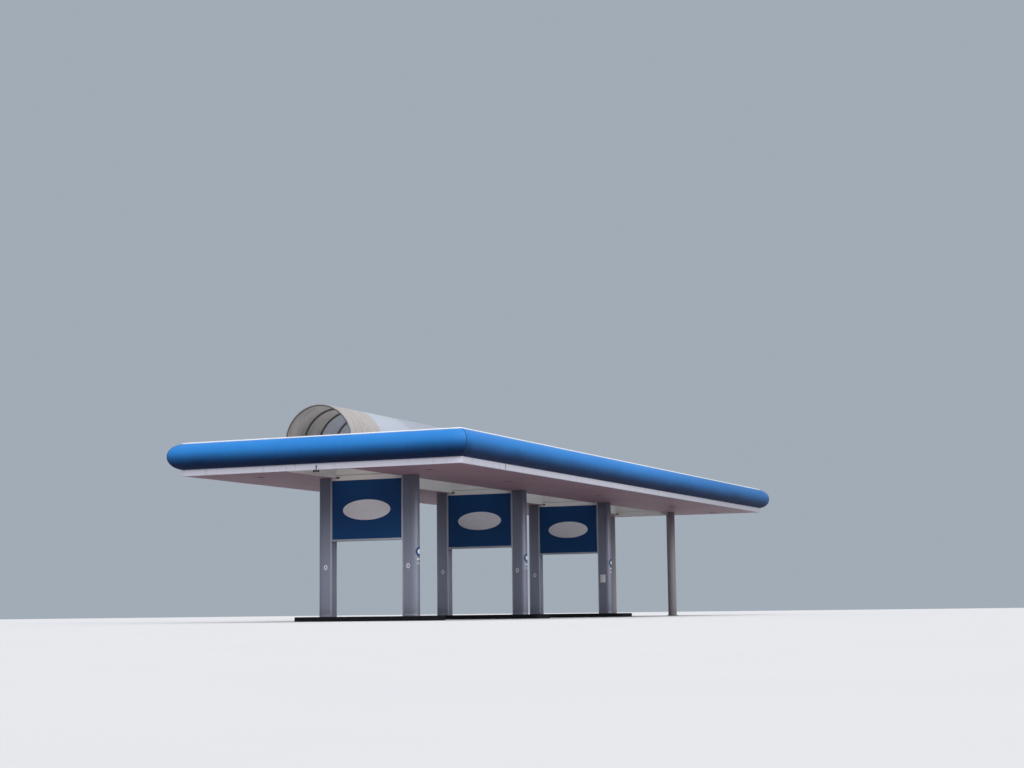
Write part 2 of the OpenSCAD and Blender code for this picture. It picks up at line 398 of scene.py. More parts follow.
class Shell:
    """Closed solids of one piece, gathered as whole arrays and made one mesh at the end."""

    def __init__(self) -> None:
        """Starts with no solid."""
        self.points: list[Array] = []
        self.faces: list[list[int]] = []
        self.count = 0

    def add(self, rings: Array, loop: bool = False) -> "Shell":
        """Adds the skin over outlines placed one behind the other, turned outward.

        The signed volume is a sixth of the sum over the triangles of a . (b x c). Where it is
        negative, every face is reversed.

        Args:
            rings: stations by points by three.
            loop: the last outline joins the first; otherwise a flat face closes each end.

        Returns:
            This shell, so that calls can follow one another.
        """
        s, n = rings.shape[:2]
        index = np.arange(s * n).reshape(s, n)
        this = index if loop else index[:-1]
        beyond = np.roll(index, -1, 0)[: len(this)]
        quads = np.stack([this, np.roll(this, -1, 1), np.roll(beyond, -1, 1), beyond], -1)
        quads = quads.reshape(-1, 4)
        caps = [] if loop else [index[0][::-1], index[-1]]
        flat = rings.reshape(-1, 3)
        fans = [quads[:, [0, 1, 2]], quads[:, [0, 2, 3]]]
        fans += [np.stack([np.full(n - 2, c[0]), c[1:-1], c[2:]], 1) for c in caps]
        tri = flat[np.concatenate(fans)] - flat.mean(0)
        volume = np.einsum("ij,ij->", tri[:, 0], np.cross(tri[:, 1], tri[:, 2]))
        order = 1 if volume > 0 else -1
        self.points.append(flat)
        self.faces += (quads[:, ::order] + self.count).tolist()
        self.faces += [(c[::order] + self.count).tolist() for c in caps]
        self.count += len(flat)
        return self

    def prism(self, outline: Array, end: float, other: float, axis: Axis,
              ease: float = 0.002) -> "Shell":
        """Adds an outline carried between two ends, which are rounded over by ease."""
        low, high = sorted((end, other))
        return self.add(carry(outline, eased(low, high, ease, 2), axis))

    def bar(self, outline: Array, low: float, high: float, axis: Axis, joints: Point,
            groove: Groove, ease: float = 0.002) -> "Shell":
        """Adds an outline carried from low to high, with rounded ends and grooved joints."""
        return self.add(carry(outline, grooved(eased(low, high, ease), joints, groove), axis))

    def block(self, corner: Point, other: Point, ease: float = 0.002) -> "Shell":
        """Adds a box with rounded edges, given by two opposite corners."""
        low, high = np.minimum(corner, other), np.maximum(corner, other)
        return self.prism(box_outline(low[:2], high[:2], ease), low[2], high[2], Axis.Z, ease)

    def piece(self, name: str, material: bpy.types.Material, sharp: float) -> bpy.types.Object:
        """Makes the object.

        Args:
            name: the piece's name.
            material: its material.
            sharp: edges sharper than this angle in degrees are shaded sharp.

        Returns:
            The object, at the origin.
        """
        mesh = bpy.data.meshes.new(name)
        mesh.from_pydata(np.concatenate(self.points).tolist(), [], self.faces)
        mesh.materials.append(material)
        shade(mesh, sharp)
        return linked(name, mesh)


def cut_away(piece: bpy.types.Object, tool: Shell, sharp: float) -> None:
    """Cuts closed shapes out of a piece and keeps the result as the piece's own mesh.

    Args:
        piece: the piece.
        tool: the shapes.
        sharp: edges sharper than this angle in degrees are shaded sharp.
    """
    shape = tool.piece("cutting_shape", piece.data.materials[0], sharp)
    step = piece.modifiers.new("cut", "BOOLEAN")
    step.operation, step.solver, step.object = "DIFFERENCE", "MANIFOLD", shape
    bpy.context.view_layer.update()
    evaluated = piece.evaluated_get(bpy.context.evaluated_depsgraph_get())
    result = bpy.data.meshes.new_from_object(evaluated)
    old, spare, name = piece.data, shape.data, piece.data.name
    piece.modifiers.clear()
    piece.data = result
    bpy.data.objects.remove(shape)
    bpy.data.meshes.remove(old)
    bpy.data.meshes.remove(spare)
    result.name = name
    shade(result, sharp)


# Shader writing


class Val:
    """A shader socket on which arithmetic adds Math nodes."""

    def __init__(self, graph: "Nodes", socket: bpy.types.NodeSocket) -> None:
        """Keeps the socket and the node tree that it is in."""
        self.graph, self.socket = graph, socket

    def __add__(self, other: "Term") -> "Val":
        """Sum."""
        return self.graph.math("ADD", self, other)

    def __sub__(self, other: "Term") -> "Val":
        """Difference."""
        return self.graph.math("SUBTRACT", self, other)

    def __rsub__(self, other: float) -> "Val":
        """Difference, from a number."""
        return self.graph.math("SUBTRACT", other, self)

    def __mul__(self, other: "Term") -> "Val":
        """Product."""
        return self.graph.math("MULTIPLY", self, other)

    def __truediv__(self, other: "Term") -> "Val":
        """Quotient."""
        return self.graph.math("DIVIDE", self, other)

    def __rtruediv__(self, other: float) -> "Val":
        """Quotient, of a number."""
        return self.graph.math("DIVIDE", other, self)

    __radd__, __rmul__ = __add__, __mul__

    def floor(self) -> "Val":
        """Whole number below."""
        return self.graph.math("FLOOR", self)

    def wave(self) -> "Val":
        """Sine, from -1 to 1."""
        return self.graph.math("SINE", self)

    def between(self, low: float, high: float) -> "Val":
        """Smooth step: 0 below low, 1 above high; the other way round if high is the smaller."""
        ends = (low, high, 0.0, 1.0) if low <= high else (high, low, 1.0, 0.0)
        return self.graph.node("ShaderNodeMapRange", {"interpolation_type": "SMOOTHSTEP"},
                               dict(enumerate((self, *ends))))


Term = Val | float
Tone = Val | Color


class Nodes:
    """A node tree, emptied first, and the methods that write into it."""

    def __init__(self, tree: bpy.types.NodeTree) -> None:
        """Empties the tree and keeps it."""
        self.tree = tree
        tree.nodes.clear()

    def node(self, kind: str, settings: dict | None = None, inputs: dict | None = None,
             output: int | str = 0) -> Val:
        """Adds one node.

        Args:
            kind: Blender's name for the node type.
            settings: its properties, which are set first.
            inputs: value or Val for each input, by name or number.
            output: which output comes back.

        Returns:
            The output, ready for more arithmetic.
        """
        made = self.tree.nodes.new(kind)
        for key, value in (settings or {}).items():
            setattr(made, key, value)
        for key, value in (inputs or {}).items():
            socket = made.inputs[key]
            if isinstance(value, Val):
                self.tree.links.new(value.socket, socket)
            elif socket.type == "RGBA":
                socket.default_value = (*value, 1)
            else:
                socket.default_value = value
        return Val(self, made.outputs[output])

    def math(self, operation: str, *terms: Term) -> Val:
        """Adds a Math node on one or two terms."""
        return self.node("ShaderNodeMath", {"operation": operation}, dict(enumerate(terms)))

    def blend(self, first: Val, second: Val, share: Val) -> Val:
        """Shader between two others: the second in the given share."""
        return self.node("ShaderNodeMixShader", {}, dict(enumerate((share, first, second))))

    def end(self, kind: str, shader: Val) -> None:
        """Adds an output node, and joins the shader to it."""
        self.tree.links.new(shader.socket, self.tree.nodes.new(kind).inputs[0])


class Graph(Nodes):
    """The node tree of one material, whose patterns lie in the object's own coordinates."""

    def __init__(self, name: str) -> None:
        """Starts a material.

        Args:
            name: the material's name.
        """
        self.material = bpy.data.materials.new(name)
        self.material.use_nodes = True
        super().__init__(self.material.node_tree)
        self.place = self.node("ShaderNodeTexCoord", output="Object")
        self.x, self.y, self.z = (
            self.node("ShaderNodeSeparateXYZ", {}, {0: self.place}, axis) for axis in range(3))

    def noise(self, scale: float, detail: float, stretch: Triple = (1, 1, 1),
              rough: float = 0.55) -> Val:
        """Smooth noise from 0 to 1, its space stretched by a factor for each axis."""
        space = self.node("ShaderNodeMapping", {}, {0: self.place, "Scale": stretch})
        return self.node("ShaderNodeTexNoise", {}, {
            "Vector": space, "Scale": scale, "Detail": detail, "Roughness": rough})

    def cell(self, grid: "Grid") -> Val:
        """A random number from 0 to 1 for each cell; an axis of pitch 0 isn't divided."""
        parts = [((place - start) / pitch).floor() if pitch else 0.0
                 for place, pitch, start in zip((self.x, self.y, self.z), grid.pitch, grid.start)]
        return self.node("ShaderNodeTexWhiteNoise", {"noise_dimensions": "3D"}, {
            0: self.node("ShaderNodeCombineXYZ", {}, dict(enumerate(parts)))})

    def mix(self, a: Tone, b: Tone, share: Term) -> Val:
        """Colour between a and b."""
        settings = {"data_type": "RGBA", "clamp_factor": True}
        return self.node("ShaderNodeMix", settings, {0: share, 6: a, 7: b}, 2)

    def tint(self, color: Tone, amount: Val) -> Val:
        """Colour made lighter or darker by a factor."""
        grey = self.node("ShaderNodeCombineXYZ", {}, dict(enumerate((amount, amount, amount))))
        return self.node("ShaderNodeVectorMath", {"operation": "MULTIPLY"}, {0: grey, 1: color})

    def bump(self, height: Val, distance: float, strength: float) -> Val:
        """Normal of a surface raised by a height times a distance in metres."""
        return self.node("ShaderNodeBump", {}, {
            "Strength": strength, "Distance": distance, "Height": height})

    def surface(self, inputs: dict) -> Val:
        """Adds the main shader."""
        return self.node("ShaderNodeBsdfPrincipled", {}, inputs)

    def finish(self, shader: Val) -> bpy.types.Material:
        """Joins the shader to the output and returns the material."""
        self.end("ShaderNodeOutputMaterial", shader)
        return self.material


# Finishes


@dataclass(frozen=True)
class Grid:
    """Cells of a surface: their pitch along X, Y and Z, 0 for none, and where they start."""

    pitch: Triple = (0, 0, 0)
    start: Triple = (0, 0, 0)


@dataclass(frozen=True)
class CoatedSheet:
    """Painted or coated metal sheet, with tone from sheet to sheet, stains, runs and fine dents.

    The stains and runs are soft noise, the runs drawn out along the height. Each cell of the grid
    has its own tone, tone either way. The splash mixes in the dirt colour, up to its share, from
    the first of its two heights to the second: dirt at the feet of the columns, painted shade on
    the underside of the blue half-round. The relief is a slow wave for dents and a fine grain for
    the coat.
    The far setting darkens the sheet towards the far end of the roof, and the head setting darkens
    it up under the ceiling: both are painted shade.
    """

    name: str
    color: Color
    roughness: float = 0.45
    metallic: float = 0.0
    dirt_and_shade: Color = (0.30, 0.28, 0.26)
    grid: Grid = Grid()
    tone: float = 0.04
    stains: float = 0.12
    runs: float = 0.12
    splash_and_shade: Span = (0.0, 0.0)
    splash_and_shade_share: float = 0.0
    dents: float = 0.0008
    grain: float = 0.0002
    gloss: float = 0.25
    far_shade: float = 0.0
    far_shade_reach: Span = (-6.0, 13.0)
    head_shade: float = 0.0
    head_shade_reach: Span = (0.5, 4.7)

    def material(self) -> bpy.types.Material:
        """Writes the shader.

        Returns:
            The material.
        """
        g = Graph(self.name)
        soft = g.noise(scale=0.7, detail=4.0)
        run = g.noise(scale=1.0, detail=5.0, stretch=(7.0, 7.0, 0.45)).between(0.52, 0.78)
        spots = g.noise(scale=9.0, detail=3.0).between(0.50, 0.80)
        tone = 1.0 + (g.cell(self.grid) - 0.5) * (2 * self.tone) + (soft - 0.5) * 0.10
        # Painted shade: darker towards the far end of the roof.
        if self.far_shade:
            tone = tone * (1.0 - g.y.between(*self.far_shade_reach) * self.far_shade)
        # Painted shade: darker up under the ceiling.
        if self.head_shade:
            tone = tone * (1.0 - g.z.between(*self.head_shade_reach) * self.head_shade)
        stained = soft.between(0.45, 0.75) * self.stains
        soiled = run * self.runs + stained + spots * (0.3 * self.stains)
        # The splash: dirt at the feet of the columns, painted shade under the blue half-round.
        if self.splash_and_shade_share:
            edge = g.z + (soft - 0.5) * (0.3 * abs(self.splash_and_shade[0] - self.splash_and_shade[1]))
            soiled = soiled + edge.between(*self.splash_and_shade) * self.splash_and_shade_share
        dents = g.noise(scale=1.6, detail=2.0) * self.dents
        relief = dents + g.noise(scale=160.0, detail=2.0) * self.grain
        return g.finish(g.surface({
            "Base Color": g.mix(g.tint(self.color, tone), self.dirt_and_shade, soiled),
            "Roughness": self.roughness + soiled * 0.35 + (spots - 0.5) * 0.06,
            "Metallic": self.metallic,
            "Specular IOR Level": self.gloss,
            "Normal": g.bump(relief, 1.0, 0.8),
        }))


@dataclass(frozen=True)
class Acrylic:
    """Smooth plastic sheet or foil, with drops, runs and a film of dust.

    The film grows from the height high down to low.
    """

    name: str
    color: Color
    roughness: float
    dust: Color = (0.42, 0.43, 0.45)
    dust_share: float = 0.08
    low: float = 2.67
    high: float = 4.6

    def material(self) -> bpy.types.Material:
        """Writes the shader.

        Returns:
            The material.
        """
        g = Graph(self.name)
        cloud = g.noise(scale=1.3, detail=4.0)
        drops = g.noise(scale=45.0, detail=2.0).between(0.62, 0.8)
        runs = g.noise(scale=1.0, detail=4.0, stretch=(11.0, 11.0, 0.7)).between(0.55, 0.8)
        film = (g.z.between(self.high, self.low) * 0.5 + 0.5) * self.dust_share * (cloud + 0.5)
        share = film + drops * 0.04 + runs * (0.5 * self.dust_share)
        relief = g.noise(scale=0.9, detail=1.0) * 0.0015 + drops * 0.00004
        return g.finish(g.surface({
            "Base Color": g.mix(g.tint(self.color, 0.94 + cloud * 0.12), self.dust, share),
            "Roughness": self.roughness + share * 1.6,
            "Specular IOR Level": 0.15,
            "Normal": g.bump(relief, 1.0, 0.6),
        }))


@dataclass(frozen=True)
class Extrusion:
    """Aluminium profile: fine lines drawn along it, dull patches and grey dust.

    The lines are noise whose space is squeezed by the given factors: 1 along a straight profile,
    and the same in every direction for one that is bent.
    """

    name: str
    color: Color
    roughness: float
    metallic: float
    lines: Triple = (1.0, 400.0, 400.0)
    dust_share: float = 0.15
    dust: Color = (0.33, 0.32, 0.31)

    def material(self) -> bpy.types.Material:
        """Writes the shader.

        Returns:
            The material.
        """
        g = Graph(self.name)
        drawn = g.noise(scale=1.0, detail=2.0, stretch=self.lines)
        dull = g.noise(scale=2.3, detail=4.0).between(0.45, 0.72)
        tinted = g.tint(self.color, 0.92 + drawn * 0.16)
        return g.finish(g.surface({
            "Base Color": g.mix(tinted, self.dust, dull * self.dust_share),
            "Roughness": self.roughness + dull * 0.18 + (drawn - 0.5) * 0.12,
            "Metallic": self.metallic,
            "Normal": g.bump(drawn, 0.0002, 0.6),
        }))


@dataclass(frozen=True)
class PaintedConcrete:
    """Concrete with a worn coat: paint where it holds, grit and grey where it has gone.

    The coat has gone where the noise passes the two values of wear, which happens a little sooner
    on top, where it is walked on, than on the sides.
    """

    name: str
    paint: Color
    concrete: Color
    wear: Span
    roughness: float = 0.85
    top: Span = (0.10, 0.15)
    pore: Color = (0.03, 0.03, 0.03)

    def material(self) -> bpy.types.Material:
        """Writes the shader.

        Returns:
            The material.
        """
        g = Graph(self.name)
        patch = g.noise(scale=3.2, detail=6.0, rough=0.65)
        grit = g.noise(scale=120.0, detail=3.0)
        pores = g.noise(scale=38.0, detail=2.0).between(0.66, 0.78)
        tread = g.z.between(*self.top) * 0.05
        bare = (patch + tread + (grit - 0.5) * 0.12).between(*self.wear)
        painted = g.tint(self.paint, 0.8 + grit * 0.4)
        grey = g.tint(self.concrete, 0.7 + grit * 0.6)
        relief = grit * 0.0008 - bare * 0.0006 - pores * 0.0015
        return g.finish(g.surface({
            "Base Color": g.mix(g.mix(painted, grey, bare), self.pore, pores * 0.6),
            "Roughness": self.roughness + bare * 0.12 - pores * 0.1,
            "Specular IOR Level": 0.15,
            "Normal": g.bump(relief, 1.0, 0.9),
        }))


@dataclass(frozen=True)
class TranslucentSheet:
    """Hollow plastic sheet that passes some light, fluted round the arch and weathered by rain.

    The flutes are a sine along the roof. The runs follow the slope: noise drawn out along the
    distance round the arch, which the height and the distance across stand for. The colour goes
    over to far along the roof, and the share of light that passes goes from the first of its two
    values to the second over turn_at. The skin shows fully outside and by inner_share inside: the
    distance from the arch's axis tells the two apart, between the two radii of skins.
    """

    name: str
    color: Color
    far: Color
    soil: Color
    soil_share: float
    passing: Color
    passing_share: Span = (0.20, 0.46)
    turn_at: Span = (-12.4, -11.2)
    ageing: Span = (-12.0, 10.0)
    axis_height: float = 5.55
    skins: Span = (1.2085, 1.2135)
    inner_share: float = 0.15
    flute: float = 0.020
    pitch: float = 1.0355
    start: float = -16.05

    def soiled(self, g: Graph, cloud: Val) -> Val:
        """Share of soil: broad runs, fine streaks, clouds, specks and dirt along the joints.

        Args:
            g: nodes of the material.
            cloud: the soft noise that the relief reads too.

        Returns:
            The share.
        """
        run = g.noise(scale=1.0, detail=5.0, stretch=(0.8, 9.0, 0.8)).between(0.42, 0.72)
        streak = g.noise(scale=1.0, detail=4.0, stretch=(1.1, 17.0, 1.1)).between(0.44, 0.64)
        speck = g.noise(scale=26.0, detail=3.0).between(0.58, 0.8)
        place = (g.y - self.start) / self.pitch
        joint = place - place.floor() - 0.5
        edge = (joint * joint * 4.0).between(0.72, 1.0)
        clouds = cloud.between(0.4, 0.7)
        total = run * 0.40 + streak * 0.58 + clouds * 0.25 + speck * 0.15 + edge * 0.4
        return total * self.soil_share

    def material(self) -> bpy.types.Material:
        """Writes the shader: a skin and the light that passes, mixed, and open air for the inside.

        Returns:
            The material.
        """
        g = Graph(self.name)
        wave = (g.y * (2 * math.pi / self.flute)).wave()
        cloud = g.noise(scale=0.9, detail=5.0)
        sheet = g.cell(Grid((0, self.pitch, 0), (0, self.start, 0)))
        tone = 0.96 + (sheet - 0.5) * 0.10 + wave * 0.012
        base = g.tint(g.mix(self.color, self.far, g.y.between(*self.ageing)), tone)
        soiled = self.soiled(g, cloud)
        skin = g.surface({
            "Base Color": g.mix(base, self.soil, soiled),
            "Roughness": 0.30 + soiled * 0.5,
            "Specular IOR Level": 0.3,
            "Normal": g.bump(wave * 0.0004 + cloud * 0.002, 1.0, 0.7),
        })
        light = g.node("ShaderNodeBsdfTranslucent", {}, {"Color": self.passing})
        near, beyond = self.passing_share
        share = (near + g.y.between(*self.turn_at) * (beyond - near)) * (1.15 - soiled * 0.9)
        rise = g.z - self.axis_height
        outer = (g.x * g.x + rise * rise).between(self.skins[0] ** 2, self.skins[1] ** 2)
        shown = outer * (1.0 - self.inner_share) + self.inner_share
        open_air = g.node("ShaderNodeBsdfTransparent")
        return g.finish(g.blend(open_air, g.blend(skin, light, share), shown))


@dataclass(frozen=True)
class Glass:
    """Dark lamp glass, dusty, with a faint grid of the reflector behind it."""

    name: str
    color: Color
    dust: Color = (0.22, 0.21, 0.20)
    grid: float = 260.0

    def material(self) -> bpy.types.Material:
        """Writes the shader.

        Returns:
            The material.
        """
        g = Graph(self.name)
        dust = g.noise(scale=14.0, detail=4.0).between(0.4, 0.8)
        grid = ((g.x * self.grid).wave() * (g.y * self.grid).wave()).between(-0.2, 0.6)
        return g.finish(g.surface({
            "Base Color": g.mix(g.tint(self.color, 0.7 + grid * 0.9), self.dust, dust * 0.25),
            "Roughness": 0.10 + dust * 0.3,
            "Coat Weight": 0.6,
            "Coat Roughness": 0.05,
        }))


Look = CoatedSheet | Acrylic | Extrusion | PaintedConcrete | TranslucentSheet | Glass
EDGE_SHEETS = Grid((0, 3.23, 0), (0, -16.15, 0))


@functools.cache
def material_of(look: Look) -> bpy.types.Material:
    """The material of a look, made when it is first asked for."""
    return look.material()


class Finish(Enum):
    """All the finishes of the canopy: a material slot's name, and the look."""

    KERB = "kerb_black", PaintedConcrete(
        "kerb_paint", (0.010, 0.011, 0.014), (0.075, 0.075, 0.078), (0.62, 0.76))
    WALK = "kerb_black", PaintedConcrete(
        "island_top_paint", (0.022, 0.023, 0.026), (0.11, 0.11, 0.11), (0.55, 0.72))
    # Darker and bluer than the silver cladding, and darker towards the top: painted shade under the
    # roof.
    COLUMN = "column_silver", CoatedSheet(
        "column_cladding", (0.284, 0.305, 0.384), 0.56, 0.60, dirt_and_shade=(0.15, 0.145, 0.15),
        grid=Grid((0, 0, 2.46), (0, 0, 0.15)), tone=0.02, stains=0.08, runs=0.10,
        splash_and_shade=(0.55, 0.12), splash_and_shade_share=0.12, dents=0.0006, grain=0.00002, head_shade=0.42)
    SLIM = "column_silver", CoatedSheet(
        "slim_column_paint", (0.34, 0.34, 0.37), 0.5, dirt_and_shade=(0.20, 0.17, 0.15),
        splash_and_shade=(0.5, 0.0), splash_and_shade_share=0.4)
    # Dark paint: real on the foot plates; on the collars and the vault seals it paints shadow gaps.
    COLLAR = "rib_dark", CoatedSheet("collar_dark", (0.10, 0.10, 0.11), 0.6)
    # Lighter than the cladding: paints the highlight along the columns' inner corners.
    CORNER = "column_silver", Extrusion(
        "corner_profile", (0.44, 0.46, 0.52), 0.36, 0.3, lines=(400.0, 400.0, 1.0))
    FRAME = "frame_grey", Extrusion("sign_frame_profile", (0.40, 0.42, 0.47), 0.40, 0.3)
    SIGN = "sign_blue", Acrylic(
        "sign_acrylic", (0.004, 0.056, 0.185), 0.35, (0.16, 0.18, 0.24), 0.02)
    OVAL = "band_white", Acrylic(
        "oval_acrylic", (0.95, 0.97, 1.00), 0.40, (0.50, 0.48, 0.47), 0.06)
    DISC = "sign_blue", Acrylic(
        "disc_foil", (0.005, 0.06, 0.22), 0.45, dust_share=0.03, low=1.9, high=2.4)
    LABEL = "band_white", Acrylic(
        "label_foil", (0.90, 0.91, 0.93), 0.45, (0.45, 0.43, 0.42), 0.05, low=1.4, high=2.4)
    CREAM = "cream_casing", CoatedSheet(
        "cream_casing_sheet", (0.92, 0.91, 0.865), 0.50, dirt_and_shade=(0.46, 0.43, 0.38),
        grid=Grid((0, 3.0, 0), (0, -16.05, 0)), tone=0.03, stains=0.10, runs=0.14)
    # Mauve-pink and darker than the white panels: painted shade and painted pink light thrown up
    # from the paving.
    CEILING = "ceiling_white", CoatedSheet(
        "ceiling_panels", (0.60, 0.44, 0.50), 0.55, dirt_and_shade=(0.27, 0.19, 0.215),
        grid=Grid((0.1885, 5.35, 0), (0, -16.05, 0)), tone=0.035, stains=0.16, runs=0.0,
        gloss=0.12)
    DECK = "deck_grey", CoatedSheet(
        "deck_sheet", (0.42, 0.43, 0.44), 0.5, 0.4, dirt_and_shade=(0.16, 0.13, 0.10),
        grid=Grid((0, 1.0, 0)), tone=0.05, stains=0.30, runs=0.10)
    # Its far end is darker: painted shade.
    BAND = "band_white", CoatedSheet(
        "white_band_sheet", (0.82, 0.845, 0.965), dirt_and_shade=(0.48, 0.49, 0.52), grid=EDGE_SHEETS,
        tone=0.02, stains=0.08, runs=0.46, far_shade=0.28)
    TRIM = "band_white", CoatedSheet(
        "white_trim_sheet", (0.94, 0.945, 0.95), dirt_and_shade=(0.40, 0.38, 0.36), grid=EDGE_SHEETS,
        tone=0.01, stains=0.05, runs=0.10)
    # Navy mixed in low down paints the shade on the half-round's underside; the darker far end is
    # painted shade too.
    BLUE = "fascia_blue", CoatedSheet(
        "blue_fascia_sheet", (0.024, 0.208, 0.590), 0.42, dirt_and_shade=(0.005, 0.017, 0.062),
        grid=EDGE_SHEETS, tone=0.03, stains=0.05, runs=0.05, splash_and_shade=(5.47, 4.96),
        splash_and_shade_share=0.95, dents=0.0020, grain=0.0001, gloss=0.16, far_shade=0.32)
    # Near-black blue: in the band's first joint and in the mitres it paints the shade inside the
    # joints.
    SEAM = "rib_dark", CoatedSheet("dark_seam", (0.02, 0.03, 0.06), 0.6)
    MITRE = "fascia_blue", CoatedSheet("dark_seam", (0.02, 0.03, 0.06), 0.6)
    AGED = "sheet_aged", TranslucentSheet(
        "vault_sheet_weathered", (0.65, 0.62, 0.60), (0.65, 0.62, 0.60), (0.24, 0.21, 0.175),
        0.66, (0.62, 0.60, 0.57), (0.31, 0.31), pitch=0.9008, start=-14.88)
    CLEAR = "sheet_clear", TranslucentSheet(
        "vault_sheet", (0.57, 0.63, 0.74), (0.64, 0.64, 0.64), (0.33, 0.33, 0.34),
        0.28, (0.80, 0.83, 0.87))
    JOINER = "rim_light", CoatedSheet(
        "joint_strip", (0.62, 0.625, 0.635), dirt_and_shade=(0.42, 0.40, 0.38))
    RIB = "rib_dark", CoatedSheet(
        "rib_paint", (0.27, 0.255, 0.24), 0.5, 0.1, dirt_and_shade=(0.16, 0.12, 0.10))
    RIM = "rim_light", Extrusion(
        "rim_profile", (0.44, 0.44, 0.45), 0.5, 0.1, (400.0, 400.0, 400.0), dust_share=0.3)
    # Tinted mauve like the ceiling: painted shade and painted pink light from the paving.
    BEZEL = "light_dark", CoatedSheet(
        "light_bezel", (0.52, 0.40, 0.45), 0.5, dirt_and_shade=(0.24, 0.20, 0.20))
    HOUSING = "light_dark", CoatedSheet(
        "lamp_housing", (0.060, 0.058, 0.062), 0.45, 0.1, dirt_and_shade=(0.10, 0.09, 0.08))
    # Tinted dark mauve like the ceiling: painted shade and painted pink light from the paving.
    GRILLE = "light_dark", CoatedSheet(
        "light_grille", (0.24, 0.19, 0.205), 0.5, dirt_and_shade=(0.18, 0.15, 0.15))
    GLASS = "light_dark", Glass("lamp_glass", (0.15, 0.12, 0.13))


# Assemblies


@dataclass(frozen=True)
class Layout:
    """Edges, heights and rows shared by the assemblies."""

    half_width: float
    half_length: float
    inner_width: float
    inner_length: float
    ceiling: float
    slot: float
    wall: float
    column_face: float
    vault_radius: float
    vault_foot: float
    pairs: tuple[float, ...]
    light_rows: tuple[float, ...] = (-14.43, -8.3225, 0.4525, 9.2275, 14.8825)
    light_x: float = 3.065
    end_joints: Span = (-1.15, 1.15)
    side_sheets: int = 10
    curve_points: int = 33
    column_corner: float = 0.004

    @classmethod
    def read(cls) -> "Layout":
        """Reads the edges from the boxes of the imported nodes.

        Returns:
            The layout.
        """
        ceiling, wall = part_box("ceiling_right"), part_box("slot_wall_right")
        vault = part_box("vault_sheets")
        columns = [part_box(f"columns_{n}") for n in PAIRS]
        return cls(
            half_width=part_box("band_right")[1][0], half_length=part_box("band_rear")[1][1],
            inner_width=ceiling[1][0], inner_length=ceiling[1][1], ceiling=ceiling[0][2],
            slot=wall[0][0], wall=wall[1][0], column_face=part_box("sign_frames")[1][0],
            vault_radius=vault[1][0], vault_foot=vault[0][2],
            pairs=tuple((low[1] + high[1]) / 2 for low, high in columns),
        )

    @property
    def overhang(self) -> float:
        """Width of the band between its inner line and its face."""
        return self.half_width - self.inner_width

    def side_run(self, side: Side) -> tuple[float, float, Array]:
        """Measures of one side of the roof.

        Args:
            side: the side.

        Returns:
            Half its length and its distance from the middle, both at the band's inner line, and
            the places of its joints.
        """
        if side in (Side.RIGHT, Side.LEFT):
            joints = even(-self.half_length, self.half_length, self.side_sheets)
            return self.inner_length, self.inner_width, joints
        return self.inner_width, self.inner_length, np.array(self.end_joints)

    def clad_column(self, n: int, side: int, grow: float = 0.0) -> Array:
        """Plan of a clad column: a half circle on the outside, and two small corners inside.

        Args:
            n: number of the pair.
            side: 1 or -1, the side along X.
            grow: distance by which the plan is grown all round.

        Returns:
            The closed outline.
        """
        low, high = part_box(f"columns_{n}")
        y, radius = (low[1] + high[1]) / 2, (high[1] - low[1]) / 2
        t = np.linspace(-math.pi / 2, math.pi / 2, self.curve_points)
        curve = np.stack([high[0] - radius + (radius + grow) * np.cos(t),
                          y + (radius + grow) * np.sin(t)], 1)
        face = self.column_face - grow
        corners = [(face, y + radius + grow), (face, y - radius - grow)]
        sizes = [0.0] * len(curve) + [self.column_corner] * 2
        return rounded(np.concatenate([curve, corners]), sizes, 3) * (side, 1)

    def slim_column(self, side: int) -> tuple[float, Span]:
        """Diameter and axis of the slim round column on one side."""
        low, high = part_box("columns_4")
        return high[1] - low[1], (side * (high[0] - (high[1] - low[1]) / 2), self.pairs[3])


@dataclass
class Assembly:
    """What every assembly has: the layout, and the pieces it has made with the nodes they hide."""

    plan: Layout
    made: list[tuple[bpy.types.Object, tuple[str, ...]]] = field(default_factory=list, init=False)

    def lay(self, shape: Shell, name: str, finish: Finish, *nodes: str, sharp: float = 35.0,
            holes: Shell | None = None) -> None:
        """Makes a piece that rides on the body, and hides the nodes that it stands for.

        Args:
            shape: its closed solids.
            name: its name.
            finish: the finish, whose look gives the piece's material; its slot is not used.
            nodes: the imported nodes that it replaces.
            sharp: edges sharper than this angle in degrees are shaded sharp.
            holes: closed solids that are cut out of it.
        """
        slot, look = finish.value
        piece = shape.piece(name, material_of(look), sharp)
        if holes is not None:
            cut_away(piece, holes, sharp)
        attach(piece, "root")
        if nodes:
            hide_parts(*nodes)
        self.made.append((piece, nodes))


